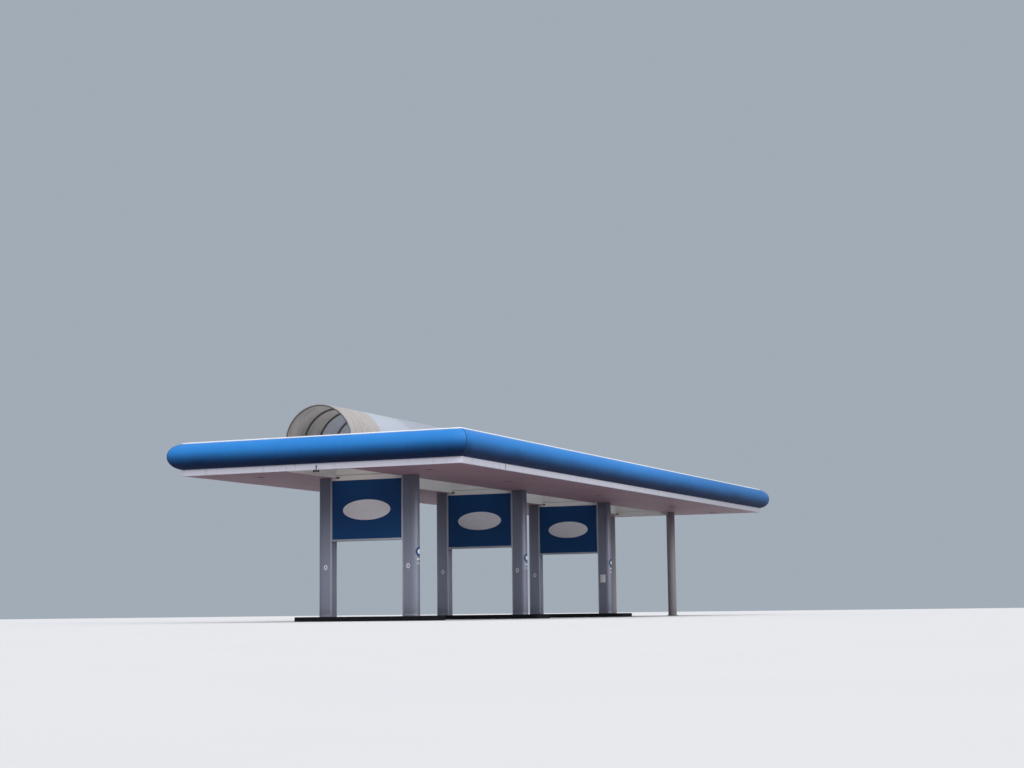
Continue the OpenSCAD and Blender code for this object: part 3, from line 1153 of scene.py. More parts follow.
@dataclass
class Islands(Assembly):
    """Low islands: a kerb of long stones round a flat top of slabs."""

    corner: float = 0.12
    kerb: float = 0.11
    batter: float = 0.004
    arrises: tuple[float, ...] = (0.002, 0.028, 0.006, 0.002)
    stone: float = 0.61
    joint: Groove = Groove(0.008, 0.006)
    slabs: int = 4
    slab_gap: float = 0.004
    slab_joint: float = 0.006
    slab_edge: float = 0.006
    drop: float = 0.010

    def build(self) -> None:
        """Makes the three islands."""
        for n in CLAD:
            low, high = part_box(f"island_{n}")
            edge = rounded(square_outline(low[:2], high[:2]), self.corner, 8)
            path, inset = jointed(edge, self.stone, self.joint)
            section = np.array([(0, low[2]), (self.batter, high[2]), (self.kerb, high[2]),
                                (self.kerb, low[2])])
            rings = kerb_ring(path, inset, rounded(section, self.arrises, 5))
            self.lay(Shell().add(rings, True), f"island_kerb_{n}", Finish.KERB, f"island_{n}")
            inner = self.kerb + self.slab_gap
            cuts = np.linspace(low[0] + inner, high[0] - inner, self.slabs + 1)
            top = Shell()
            for left, right in zip(cuts[:-1], cuts[1:]):
                top.block((left, low[1] + inner, low[2] + self.drop),
                          (right - self.slab_joint, high[1] - inner, high[2] - self.drop),
                          self.slab_edge)
            self.lay(top, f"island_top_{n}", Finish.WALK)


@dataclass
class Columns(Assembly):
    """Clad columns with a flat inner face and a round outer one, and slim ones at the rear."""

    joint_height: float = 2.61
    slim_joints: Span = (1.6, 3.2)
    joint: Groove = Groove(0.005, 0.003)
    foot: float = 0.12
    skirt: float = 0.075
    collar: float = 0.016
    tuck: float = 0.004
    proud: float = 0.0025
    slim_collar: float = 0.006
    trim: float = 0.034
    trim_bite: float = 0.002
    ring_size: Span = (0.13, 0.165)
    ring_place: Span = (1.52, 1.76)
    ring_width: float = 0.034
    foil: float = 0.0015
    label_over: float = 0.001
    disc: float = 0.31
    label: float = 0.17
    disc_height: float = 2.21
    bars: tuple[Span, ...] = ((1.97, 0.040), (1.85, 0.012), (1.81, 0.012))
    bar_half: float = 0.10
    notice: tuple[Span, Span] = ((1.40, 1.41), (1.63, 1.73))
    notice_thick: float = 0.004
    plate_rim: float = 0.12
    plate_thick: float = 0.018
    bolts: int = 8
    bolt: float = 0.030
    bolt_circle: float = 0.032

    def clad(self, n: int) -> None:
        """Makes one pair of clad columns with skirts, collars and corner profiles.

        The collars' dark paints the shadow gap under the ceiling, and the profiles' lighter silver
        paints a highlight on the inner corners.

        Args:
            n: number of the pair.
        """
        low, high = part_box(f"columns_{n}")
        under, a, b, p = self.plan.ceiling, self.trim, self.trim_bite, self.proud
        skirt_top = low[2] + self.skirt
        angle = np.array([(-p, p), (a, p), (a, -b), (b, -b), (b, -a), (-p, -a)])
        body, dark, profiles_and_highlight, skirt = Shell(), Shell(), Shell(), Shell()
        for side in SIDES:
            body.bar(self.plan.clad_column(n, side), self.foot, high[2], Axis.Z,
                     [self.joint_height], self.joint)
            wide = self.plan.clad_column(n, side, self.proud)
            # Dark collar: painted shadow gap under the ceiling.
            dark.prism(wide, under - self.collar, under + self.tuck, Axis.Z)
            skirt.prism(wide, self.foot, skirt_top, Axis.Z)
            # Corner profiles, a lighter silver than the cladding: the lighter colour paints the
            # highlight along the inner corners.
            for front, edge in ((-1, low[1]), (1, high[1])):
                turned = angle * (1, front) + (self.plan.column_face, 0.0)
                profiles_and_highlight.prism(turned * (side, 1) + (0, edge), skirt_top, under - self.collar,
                             Axis.Z, 0.001)
        self.lay(body, f"clad_columns_{n}", Finish.COLUMN, f"columns_{n}")
        self.lay(skirt, f"column_skirts_{n}", Finish.COLUMN)
        self.lay(dark, f"column_collars_{n}", Finish.COLLAR)
        self.lay(profiles_and_highlight, f"column_profiles_{n}", Finish.CORNER)

    def slim(self) -> None:
        """Makes the rear pair of round columns with foot plates, bolts and collars.

        The collars' dark paints the shadow gap under the ceiling.
        """
        low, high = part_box("columns_4")
        under, floor, thick = self.plan.ceiling, low[2], self.plate_thick
        body, dark, plate = Shell(), Shell(), Shell()
        for side in SIDES:
            across, centre = self.plan.slim_column(side)
            body.bar(circle(across, centre, 64), floor, high[2], Axis.Z, self.slim_joints,
                     self.joint, 0.003)
            # Dark collar: painted shadow gap under the ceiling.
            dark.prism(circle(across + self.slim_collar, centre, 64), under - self.collar,
                       under + self.tuck, Axis.Z)
            plate.prism(circle(across + self.plate_rim, centre, 48), floor, floor + thick,
                        Axis.Z, 0.003)
            reach = across / 2 + self.bolt_circle
            for turn in np.arange(self.bolts) * (2 * math.pi / self.bolts):
                at = (centre[0] + reach * math.cos(turn), centre[1] + reach * math.sin(turn))
                plate.prism(circle(self.bolt, at, 6), floor + thick, floor + 2 * thick, Axis.Z)
        self.lay(body, "slim_columns", Finish.SLIM, "columns_4")
        self.lay(dark, "column_collars_4", Finish.COLLAR)
        self.lay(plate, "column_feet_4", Finish.COLLAR)

    def marks(self) -> None:
        """Puts the plain white rings, the round discs, their labels and a bare notice plate on."""
        white, disc, middle = Shell(), Shell(), Shell()
        x, z = self.ring_place
        for n in CLAD:
            low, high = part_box(f"columns_{n}")
            radius, face = (high[1] - low[1]) / 2, low[1]
            into, out = face + LET_IN, face - self.foil
            skin = np.array([(into, 0.0), (out, 0.0), (out, self.ring_width),
                             (into, self.ring_width)])
            for side in SIDES if n < 3 else SIDES[:1]:
                white.add(carry(ellipse(*self.ring_size, (side * x, z), 40), skin, Axis.Y), True)
            axis, centre = (high[0] - radius, self.plan.pairs[n - 1]), (0, self.disc_height)
            disc.add(wrapped(circle(self.disc, centre, 48), axis, radius, self.foil))
            middle.add(wrapped(circle(self.label, centre, 40), axis, radius,
                               self.foil + self.label_over))
            for height, half in self.bars:
                bar = box_outline((-self.bar_half, height - half), (self.bar_half, height + half),
                                  0.006)
                middle.add(wrapped(bar, axis, radius, self.foil))
        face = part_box("columns_3")[0][1]
        white.prism(box_outline(*self.notice, 0.008), face - self.notice_thick, face + LET_IN,
                    Axis.Y, 0.0015)
        self.lay(white, "column_marks", Finish.LABEL)
        self.lay(disc, "column_discs", Finish.DISC)
        self.lay(middle, "column_labels", Finish.LABEL)

    def build(self) -> None:
        """Makes all the columns and what is fixed to them."""
        for n in CLAD:
            self.clad(n)
        self.slim()
        self.marks()


@dataclass
class Signs(Assembly):
    """Sign boxes between the clad columns: a bead round a set-back face, with a bare oval."""

    bead: float = 0.026
    setback: float = 0.006
    oval: Span = (1.752, 0.670)
    oval_height: float = 3.615
    oval_thick: float = 0.008
    oval_bite: float = 0.002
    frame_proud: float = 0.005
    rail_groove: Groove = Groove(0.006, 0.003)
    upright_groove: Groove = Groove(0.004, 0.002)

    def face_rows(self, low: float, high: float) -> Array:
        """Rows of (station, inset) of a box: set-back face, bead, side, and the same behind.

        Args:
            low: station of the front.
            high: station of the back.

        Returns:
            The rows, from front to back.
        """
        b, s = self.bead, self.setback
        front = np.array([(s, b), (0.002, b - 0.003), (0.0, b - 0.006), (0.0, 0.004),
                          (0.001, 0.001), (0.004, 0.0)])
        return np.concatenate([front + (low, 0), (front * (-1, 1) + (high, 0))[::-1]])

    def build(self) -> None:
        """Makes the three boxes, their ovals and their frames of one rail and two uprights."""
        frames, side = Shell(), self.plan.column_face
        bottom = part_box("sign_frames")[0][2]
        shape = ellipse(*self.oval, (0, self.oval_height), 96)
        for n in CLAD:
            low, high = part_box(f"sign_{n}")
            outline = square_outline((low[0], low[2]), (high[0], high[2]))
            body = Shell().add(carry(outline, self.face_rows(low[1], high[1]), Axis.Y))
            self.lay(body, f"sign_box_{n}", Finish.SIGN, f"sign_{n}")
            ovals = Shell()
            for face, way in ((low[1] + self.setback, -1), (high[1] - self.setback, 1)):
                ovals.prism(shape, face - way * self.oval_bite, face + way * self.oval_thick,
                            Axis.Y, 0.003)
            self.lay(ovals, f"sign_oval_{n}", Finish.OVAL)
            front, back = low[1] - self.frame_proud, high[1] + self.frame_proud
            rail = cased((front, bottom), (back, low[2]), 2, self.rail_groove)
            frames.prism(rounded(rail, 0.002, 2), -side, side, Axis.X, 0.001)
            upright = cased((front, high[0]), (back, side), 2, self.upright_groove)[:, ::-1]
            for end in SIDES:
                frames.prism(rounded(upright * (end, 1), 0.0015, 2), low[2], high[2], Axis.Z,
                             0.001)
        self.lay(frames, "sign_frame_profiles", Finish.FRAME, "sign_frames")


@dataclass
class Casings(Assembly):
    """Cream casings: headers between the columns, and the beams across the roof above them."""

    planks: int = 5
    plank: Groove = Groove(0.009, 0.006)
    joints: Span = (-0.38, 0.38)
    butt: Groove = Groove(0.004, 0.002)
    lip: float = 0.022
    lip_thick: float = 0.003
    lip_end: float = 0.03
    slim_reach: float = 1.455
    plate: float = 0.12
    plate_thick: float = 0.006
    plate_span: Span = (-0.035, 0.030)

    def on_face(self, y: float, side: int, half: float, thick: float) -> Span:
        """Where a thin strip lies along the roof: on a header's face, and a little into it."""
        near, far = sorted((y + side * half, y + side * (half + thick)))
        return near - LET_IN, far

    def headers(self) -> None:
        """Makes each pair's header, taller within the slot, with lips at its foot and plates."""
        shape, plates = Shell(), Shell()
        low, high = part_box("headers")
        half, foot = self.plan.pairs[0] - low[1], low[2]
        slot, under = self.plan.slot, self.plan.ceiling
        for n, y in zip(PAIRS, self.plan.pairs):
            reach = self.plan.column_face if n in CLAD else self.slim_reach
            tall, short = (box_outline((y - half, foot), (y + half, top))
                           for top in (high[2], under))
            shape.bar(tall, -slot, slot, Axis.X, self.joints, self.butt)
            for side in SIDES:
                shape.prism(short, side * slot, side * reach, Axis.X)
                near, far = self.on_face(y, side, half, self.lip_thick)
                shape.block((-reach + self.lip_end, near, foot),
                            (reach - self.lip_end, far, foot + self.lip), 0.001)
                near, far = self.on_face(y, side, half, self.plate_thick)
                plates.block((-slot, near, under + self.plate_span[0]),
                             (self.plate - slot, far, under + self.plate_span[1]))
        self.lay(shape, "header_casings", Finish.CREAM, "headers")
        self.lay(plates, "header_plates", Finish.COLLAR)

    def beams(self) -> None:
        """Makes the four beams with planked sides."""
        for n in PAIRS:
            low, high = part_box(f"beam_{n}")
            section = cased((low[1], low[2]), (high[1], high[2]), self.planks, self.plank)
            beam = Shell().bar(section, low[0], high[0], Axis.X, self.joints, self.butt, 0.003)
            self.lay(beam, f"beam_casing_{n}", Finish.CREAM, f"beam_{n}")

    def build(self) -> None:
        """Makes headers and beams."""
        self.headers()
        self.beams()


@dataclass
class Ceiling(Assembly):
    """Ceiling of long narrow panels along the roof, cut out for columns and lights."""

    strips: int = 20
    groove: Groove = Groove(0.014, 0.013)
    butt: Groove = Groove(0.004, 0.002)
    gap: float = 0.012
    lengths: int = 6
    column_gap: float = 0.004
    slim_gap: float = 0.010
    hole: float = 0.29
    angle_thick: float = 0.003
    angle_legs: Span = (0.040, 0.060)
    angle_end: float = 0.05

    def holes(self, side: int, low: float, high: float) -> Shell:
        """Shapes cut out for columns and lights.

        Args:
            side: 1 or -1, the side along X.
            low: height at which they start.
            high: height at which they end.

        Returns:
            The shapes.
        """
        plan, shape, h = self.plan, Shell(), self.hole / 2
        for n in CLAD:
            shape.prism(plan.clad_column(n, side, self.column_gap), low, high, Axis.Z)
        across, centre = plan.slim_column(side)
        shape.prism(circle(across + self.slim_gap, centre, 48), low, high, Axis.Z)
        x = side * plan.light_x
        for y in plan.light_rows:
            shape.block((x - h, y - h, low), (x + h, y + h, high))
        return shape

    def build(self) -> None:
        """Makes both halves, and the thin angle along the edges of the slot."""
        plan, edges = self.plan, Shell()
        low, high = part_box("ceiling_right")
        section = planked(low[2], high[2], low[0], high[0] - self.gap, self.strips, self.groove)
        joints = even(low[1], high[1], self.lengths)
        x, z, t = plan.slot, plan.ceiling, self.angle_thick
        wide, tall = x + self.angle_legs[0], z + self.angle_legs[1]
        angle = np.array([(x - t, z - t), (wide, z - t), (wide, z), (x, z), (x, tall),
                          (x - t, tall)])
        reach = plan.inner_length - self.angle_end
        for side, word in HALVES:
            panels = Shell().bar(section[:, ::-1] * (side, 1), low[1] + self.gap,
                                 high[1] - self.gap, Axis.Y, joints, self.butt)
            self.lay(panels, f"ceiling_panels_{word}", Finish.CEILING, f"ceiling_{word}",
                     sharp=30.0, holes=self.holes(side, low[2] - CUT_OVER, high[2] + CUT_OVER))
            edges.prism(angle * (side, 1), -reach, reach, Axis.Y, 0.001)
        self.lay(edges, "slot_edges", Finish.CREAM)


@dataclass
class SlotWalls(Assembly):
    """Walls round the open slot: horizontal planks, cut out where the beams pass."""

    planks: int = 6
    plank: Groove = Groove(0.009, 0.006)
    butt: Groove = Groove(0.004, 0.002)
    lengths: int = 9
    end_thick: float = 0.05
    beam_gap: float = 0.002

    def holes(self, side: int, near: float, far: float) -> Shell:
        """Shapes cut out for the beams.

        Args:
            side: 1 or -1, the side along X.
            near: distance from the middle at which they start.
            far: distance at which they end.

        Returns:
            The shapes.
        """
        shape, gap = Shell(), self.beam_gap
        for n in PAIRS:
            low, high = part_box(f"beam_{n}")
            shape.block((side * near, low[1] - gap, low[2] - gap),
                        (side * far, high[1] + gap, high[2] + gap))
        return shape

    def build(self) -> None:
        """Makes the two long walls and the two end walls."""
        low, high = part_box("slot_wall_right")
        section = planked(low[0], high[0], low[2], high[2], self.planks, self.plank)
        joints = even(low[1], high[1], self.lengths)
        for side, word in HALVES:
            wall = Shell().bar(section * (side, 1), low[1], high[1], Axis.Y, joints, self.butt,
                               0.003)
            self.lay(wall, f"slot_planks_{word}", Finish.CREAM, f"slot_wall_{word}",
                     sharp=30.0, holes=self.holes(side, low[0] - CUT_OVER, high[0] + CUT_OVER))
        low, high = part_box("slot_ends")
        section = planked(high[1] - self.end_thick, high[1], low[2], high[2], self.planks,
                          self.plank)
        ends = Shell()
        for way in SIDES:
            ends.prism(section * (way, 1), low[0], high[0], Axis.X)
        self.lay(ends, "slot_end_planks", Finish.CREAM, "slot_ends")


@dataclass
class Deck(Assembly):
    """Roof deck of profiled sheet whose ribs run across the roof."""

    pitch: float = 0.207
    rib: float = 0.032
    wave: tuple[Span, ...] = ((0.02, 0), (0.30, 0), (0.42, 1), (0.88, 1), (1.0, 0))

    def section(self, low: Point, high: Point) -> Array:
        """Closed outline: flat below, and above a row of ribs with sloping sides.

        The wave gives each rib's points as (share of the pitch, share of the rib's height).

        Args:
            low: one corner, as (y, z).
            high: the opposite corner.

        Returns:
            The outline.
        """
        count, foot = round((high[0] - low[0]) / self.pitch), high[1] - self.rib
        share, rise = np.array(self.wave).T
        y = low[0] + (np.arange(count)[:, None] + share) / count * (high[0] - low[0])
        upper = np.stack([y.ravel(), np.tile(foot + self.rib * rise, count)], 1)
        return np.concatenate([[low, (low[0], foot)], upper, [(high[0], low[1])]])

    def build(self) -> None:
        """Makes the deck on both sides of the vault."""
        low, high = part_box("deck_right")
        section = self.section(low[1:], high[1:])
        for side, word in HALVES:
            sheet = Shell().prism(section, side * low[0], side * high[0], Axis.X, 0.001)
            self.lay(sheet, f"deck_sheet_{word}", Finish.DECK, f"deck_{word}", sharp=25.0)


@dataclass
class Fascia(Assembly):
    """The mitred edge of the roof: white band, blue half-round and white capping.

    Outlines are of (outward, height), counted from the band's inner line. Each side ends in the
    plane of its mitre, which holds the point at half its length plus the outward distance.
    """

    lip: float = 0.020
    fold: float = 0.0035
    hem: float = 0.014
    hem_fall: Span = (0.012, 0.008)
    arc_steps: int = 40
    seam: float = 0.036
    seam_depth: float = 0.006
    end_gap: float = 0.2
    band_joint: Groove = Groove(0.014, 0.008)
    round_joint: Groove = Groove(0.008, 0.003)
    cap_joint: Groove = Groove(0.005, 0.003)
    cap_radii: tuple[float, ...] = (0.001, 0.001, 0.001, 0.002, 0.045, 0.005)
    cap_step: float = 0.004
    strip: float = 0.016
    strip_gap: float = 0.006
    strip_back: float = 0.001
    filler: float = 0.45
    filler_inset: float = 0.001

    def end(self, outline: Array, side: Side, way: int, inset: float, back: float) -> Array:
        """One ring of a side in the plane of its mitre, or a little back from it.

        Args:
            outline: the closed outline.
            side: which side of the roof.
            way: 1 or -1, the end of the side.
            inset: how far the outline is drawn in.
            back: distance from the mitre's plane, along the side.

        Returns:
            The ring, points by three coordinates.
        """
        half, edge, _ = self.plan.side_run(side)
        drawn = drawn_in(outline, np.array([inset]))[0]
        return side.place(edge + drawn[:, 0], way * (half + drawn[:, 0] - back), drawn[:, 1])

    def rings(self, outline: Array, side: Side, groove: Groove) -> Array:
        """Rings of one side with its joints, its two ends drawn in to form a seam at the mitres.

        Args:
            outline: the closed outline.
            side: which side of the roof.
            groove: cross section of its joints.

        Returns:
            Array of stations by points by three coordinates.
        """
        half, edge, joints = self.plan.side_run(side)
        reach = half - self.end_gap
        run = grooved(np.array([(-reach, 0.0), (reach, 0.0)]), joints, groove)
        drawn = drawn_in(outline, run[:, 1])
        middle = side.place(*np.broadcast_arrays(edge + drawn[..., 0], run[:, 0, None],
                                                 drawn[..., 1]))
        first, last = ([self.end(outline, side, way, self.seam_depth, 0.0),
                        self.end(outline, side, way, 0.0, self.seam / 2)] for way in SIDES)
        return np.concatenate([first, middle, last[::-1]])

    def band(self) -> None:
        """Makes the white band of each side, and a dark strip over the right band's first joint.

        The strip's dark paints the shade inside that joint.
        """
        wide, f, hem, (start, stop) = self.plan.overhang, self.fold, self.hem, self.hem_fall
        for side in Side:
            low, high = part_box(f"band_{side.word}")
            z, lip, top = low[2], low[2] + self.lip, high[2]
            points = np.array([(0, z), (wide, z), (wide, lip), (wide - f, lip + f),
                               (wide - f, top - start), (wide - hem, top - stop),
                               (wide - hem, top), (0, top)], float)
            shape = Shell().add(self.rings(rounded(points, 0.0015, 2), side, self.band_joint))
            self.lay(shape, f"band_sheet_{side.word}", Finish.BAND, f"band_{side.word}",
                     sharp=30.0)
        # Dark strip in the first joint of the right band: painted shade inside the joint.
        face, y = self.plan.half_width, self.plan.side_run(Side.RIGHT)[2][0]
        strip = Shell().block((face - self.strip, y - self.strip, z + self.strip_gap),
                              (face - self.strip_back, y + self.strip, top - self.strip_gap))
        self.lay(strip, "band_joint_strip", Finish.SEAM)

    def bullnose_outline(self) -> Array:
        """Arc through the band's face, the reach and the capping, closed by the flat back.

        With h half the height, w the width of the band and r the whole reach, the circle through
        (w, h), (r, 0) and (w, -h) has its centre at c = (r + w - h^2 / (r - w)) / 2.

        Returns:
            The closed outline.
        """
        low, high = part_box("bullnose_right")
        wide, reach = self.plan.overhang, high[0] - self.plan.inner_width
        half = (high[2] - low[2]) / 2
        centre = ((reach + wide) - half**2 / (reach - wide)) / 2
        radius, turn = reach - centre, math.atan2(half, wide - centre)
        t = np.linspace(-turn, turn, self.arc_steps + 1)
        arc = np.stack([centre + radius * np.cos(t), low[2] + half + radius * np.sin(t)], 1)
        return np.concatenate([arc, [(0, high[2]), (0, low[2])]])

    def bullnose(self) -> None:
        """Makes the half-round of each side and the dark seams at the four corners.

        The seams' dark paints the shade inside the mitre joints.
        """
        outline, seams = self.bullnose_outline(), Shell()
        inset, back = self.filler_inset, self.filler * self.seam
        for side in Side:
            shape = Shell().add(self.rings(outline, side, self.round_joint))
            self.lay(shape, f"half_round_{side.word}", Finish.BLUE, f"bullnose_{side.word}",
                     sharp=30.0)
            after = Side((side.value + 1) % len(Side))
            # Dark seam sheet: painted shade in the mitre joint.
            seams.add(np.stack([self.end(outline, side, 1, inset, back),
                                self.end(outline, side, 1, inset, 0.0),
                                self.end(outline, after, -1, inset, back)]))
        self.lay(seams, "mitre_seams", Finish.MITRE)

    def capping(self) -> None:
        """Makes the white capping of all four sides, with a turned-down outer edge."""
        low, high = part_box("fascia_trim")
        wide, z, top, step = self.plan.overhang, low[2], high[2], self.cap_step
        points = np.array([(0, z), (wide - step, z), (wide - step, z + step), (wide, z + step),
                           (wide, top), (0, top)], float)
        outline, shape = rounded(points, self.cap_radii, 6), Shell()
        for side in Side:
            shape.add(self.rings(outline, side, self.cap_joint))
        self.lay(shape, "capping", Finish.TRIM, "fascia_trim", sharp=30.0)

    def build(self) -> None:
        """Makes band, half-round and capping."""
        self.band()
        self.bullnose()
        self.capping()


@dataclass
class Vault(Assembly):
    """Barrel vault over the slot: sheets, ribs under their joints, strips over them, and rims.

    Outlines are of (radius, y), carried over the half circle on the vault's foot.
    """

    sheets: int = 31
    first_sheet: float = 1.17
    thick: float = 0.016
    gap: float = 0.006
    crown: float = 0.003
    end_gap: float = 0.01
    seat: float = 0.0005
    strip: float = 0.018
    strip_thick: float = 0.0065
    rib: float = 0.034
    rib_depth: float = 0.050
    rib_flange: float = 0.006
    rib_web: float = 0.012
    rib_slope: float = 0.003
    rim: float = 0.040
    rim_depth: float = 0.05
    seal: float = 0.030
    seal_setback: float = 0.008
    seal_lap: float = 0.002
    rim_steps: int = 64

    def skin(self, low: float, high: float) -> Array:
        """Outline of one sheet, crowned between its joints: lift = crown (1 - u^4), u from -1 to 1.

        Args:
            low: place of its first joint.
            high: place of its last joint.

        Returns:
            The closed outline.
        """
        y = np.linspace(low + self.gap / 2, high - self.gap / 2, 9)
        r = self.plan.vault_radius
        lift = self.crown * (1 - np.linspace(-1, 1, 9) ** 4)
        upper, lower = np.stack([r + lift, y], 1), np.stack([r - self.thick + lift, y], 1)
        return np.concatenate([upper, lower[::-1]])

    def web(self, y: float) -> Array:
        """Outline of a rib: an I section under the sheets' joint.

        Args:
            y: place of the joint.

        Returns:
            The closed outline.
        """
        top = self.plan.vault_radius - self.thick
        bottom, half, f = top - self.rib_depth, self.rib / 2, self.rib_flange
        c, w = f + self.rib_slope, self.rib_web / 2
        edge = [(top, half), (top - f, half), (top - c, w), (bottom + c, w), (bottom + f, half),
                (bottom, half)]
        other = [(radius, -out) for radius, out in edge[:0:-1]]
        return np.array([(top, -half), *edge, *other]) + (0, y)

    def cover(self, cuts: Array) -> None:
        """Makes the sheets, weathered over the front bays and clear behind them.

        Args:
            cuts: places of all the joints and both ends.
        """
        front, (low, high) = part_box("vault_sheets_front"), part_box("vault_rims")
        aged, clear = Shell(), Shell()
        for a, b in zip(cuts[:-1], cuts[1:]):
            sheet = self.skin(max(a, low[1] + self.end_gap), min(b, high[1] - self.end_gap))
            target = aged if (a + b) / 2 < front[1][1] else clear
            target.add(arch(sheet, self.plan.vault_foot))
        self.lay(aged, "weathered_sheets", Finish.AGED, "vault_sheets_front")
        self.lay(clear, "clear_sheets", Finish.CLEAR, "vault_sheets")

    def joints(self, cuts: Array) -> None:
        """Makes a strip over each joint and a rib under it.

        Args:
            cuts: places of the joints.
        """
        strips, ribs = Shell(), Shell()
        r, half = self.plan.vault_radius, self.strip / 2
        for y in cuts:
            cap = box_outline((r + self.seat, y - half), (r + self.strip_thick, y + half))
            strips.add(arch(cap, self.plan.vault_foot))
            ribs.add(arch(self.web(y), self.plan.vault_foot))
        self.lay(strips, "vault_strips", Finish.JOINER)
        self.lay(ribs, "vault_arches", Finish.RIB, "vault_ribs")

    def rims(self) -> None:
        """Makes the edge profile at both open ends, and a dark seal inside it.

        The seal's dark paints the shadow line between the rim and the sheets.
        """
        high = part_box("vault_rims")[1]
        shape, seals, inner = Shell(), Shell(), high[0] - self.rim
        for way in SIDES:
            end, back = high[1] * way, high[1] * way - way * self.rim_depth
            # The second is the dark seal: painted shadow line between the rim and the sheets.
            for target, low, outer, radius in (
                    (shape, (inner, end), high[0], 0.005),
                    (seals, (inner - self.seal, end - way * self.seal_setback),
                     inner + self.seal_lap, 0.003)):
                outline = rounded(square_outline(low, (outer, back)), radius, 2)
                target.add(arch(outline, self.plan.vault_foot, self.rim_steps))
        self.lay(shape, "rim_profiles", Finish.RIM, "vault_rims")
        self.lay(seals, "vault_seals", Finish.COLLAR)

    def sills(self) -> None:
        """Makes the folded sheet along the foot of the vault on both sides."""
        outer, z, reach = self.plan.vault_radius, self.plan.vault_foot, self.plan.wall
        length = self.plan.inner_length - self.end_gap
        fold = np.array([(outer + self.seat, z + 0.055), (outer + 0.004, z + 0.055),
                         (outer + 0.005, z + 0.006), (reach + 0.022, z + 0.001),
                         (reach + 0.022, z - 0.050), (reach + 0.019, z - 0.050),
                         (reach + 0.019, z - 0.003), (outer + self.seat, z + 0.002)])
        shape = Shell()
        for side in SIDES:
            shape.prism(fold * (side, 1), -length, length, Axis.Y, 0.001)
        self.lay(shape, "vault_sills", Finish.JOINER)

    def build(self) -> None:
        """Makes the sheets, strips, ribs, rims and sills; the front sheet is wider."""
        end = self.plan.inner_length
        cuts = np.linspace(-end, end, self.sheets + 1)
        cuts[1] = cuts[0] + self.first_sheet
        self.cover(cuts)
        self.joints(cuts[1:-1])
        self.rims()
        self.sills()


@dataclass
class Lights(Assembly):
    """Square ceiling lights and the small lamp on its arm at the front band."""

    size: float = 0.28
    flange: float = 0.020
    thick: float = 0.008
    depth: float = 0.110
    seat: float = 0.022
    vanes: int = 4
    vane: float = 0.0024
    vane_gap: float = 0.010
    vane_drop: float = 0.004
    vane_short: float = 0.001
    pane_gap: float = 0.012
    pane_span: Span = (0.012, 0.018)
    arm_half: float = 0.008
    arm_span: Span = (0.028, 0.006)
    arm_foot: float = 0.06
    base_half: float = 0.022
    base_thick: float = 0.008
    base_span: Span = (0.060, 0.004)
    drum: float = 0.08
    core: float = 0.65
    drum_back: float = 0.010
    fins: int = 9
    fin_ends: Span = (0.02, 0.05)
    fin_gap: Groove = Groove(0.009, 0.007)
    cap: float = 0.018

    def ceiling_lights(self) -> None:
        """Makes ten housings with a turned rim, a grid of vanes and a dark glass."""
        grille, glass, bezel = Shell(), Shell(), Shell()
        half, z, t = self.size / 2, self.plan.ceiling, self.thick
        reach, inner, pane = half + self.flange, half - self.vane_gap, half - self.pane_gap
        under, over = self.pane_span
        rows = np.array([(z, 0.002), (z - 0.004, 0.0), (z - t + 0.002, 0.001), (z - t, 0.004),
                         (z - t, 0.030), (z - t + 0.002, 0.032), (z + 0.030, 0.036),
                         (z + 0.030, 0.022), (z, 0.021)])
        for side in SIDES:
            for y in self.plan.light_rows:
                at = np.array([side * self.plan.light_x, y, z])
                bezel.add(carry(square_outline(at[:2] - reach, at[:2] + reach), rows, Axis.Z), True)
                grille.block(at + (-half, -half, self.seat), at + (half, half, self.depth), 0.004)
                for place in even(-half, half, self.vanes):
                    low = np.array([place - self.vane / 2, -inner, -self.vane_drop])
                    high = np.array([place + self.vane / 2, inner, self.seat - self.vane_short])
                    for order in ((0, 1, 2), (1, 0, 2)):
                        grille.block(at + low[[*order]], at + high[[*order]], 0.0005)
                glass.block(at + (-pane, -pane, under), at + (pane, pane, over), 0.001)
        self.lay(grille, "light_housings", Finish.GRILLE, "ceiling_lights")
        self.lay(glass, "light_glasses", Finish.GLASS)
        self.lay(bezel, "light_bezels", Finish.BEZEL)

    def front_lamp(self) -> None:
        """Makes the arm, its foot plate and the finned drum of the front lamp."""
        low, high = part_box("front_lamp")
        edge, half, shape = -self.plan.half_length, (high[0] - low[0]) / 2, Shell()
        shape.block((-self.arm_half, edge - self.arm_span[0], low[2] + self.arm_foot),
                    (self.arm_half, edge - self.arm_span[1], high[2]), 0.003)
        shape.block((-self.base_half, edge - self.base_thick, high[2] - self.base_span[0]),
                    (self.base_half, edge + LET_IN, high[2] + self.base_span[1]), 0.003)
        centre = ((low[1] + (edge + self.drum_back)) / 2, low[2] + self.drum / 2)
        fins = even(-half + self.fin_ends[0], half - self.fin_ends[1], self.fins)
        shape.bar(circle(self.core * self.drum, centre, 40), -half, half, Axis.X, fins,
                  self.fin_gap, 0.005)
        for end in SIDES:
            shape.prism(circle(self.drum, centre, 40), end * (half - self.cap), end * half, Axis.X,
                        0.005)
        self.lay(shape, "front_lamp_body", Finish.HOUSING, "front_lamp")

    def build(self) -> None:
        """Makes the ceiling lights and the front lamp."""
        self.ceiling_lights()
        self.front_lamp()


@dataclass(frozen=True)
class Lamp:
    """A broad lamp: the direction towards it, its strength, and its width in degrees."""

    toward: Triple
    strength: float
    width: float


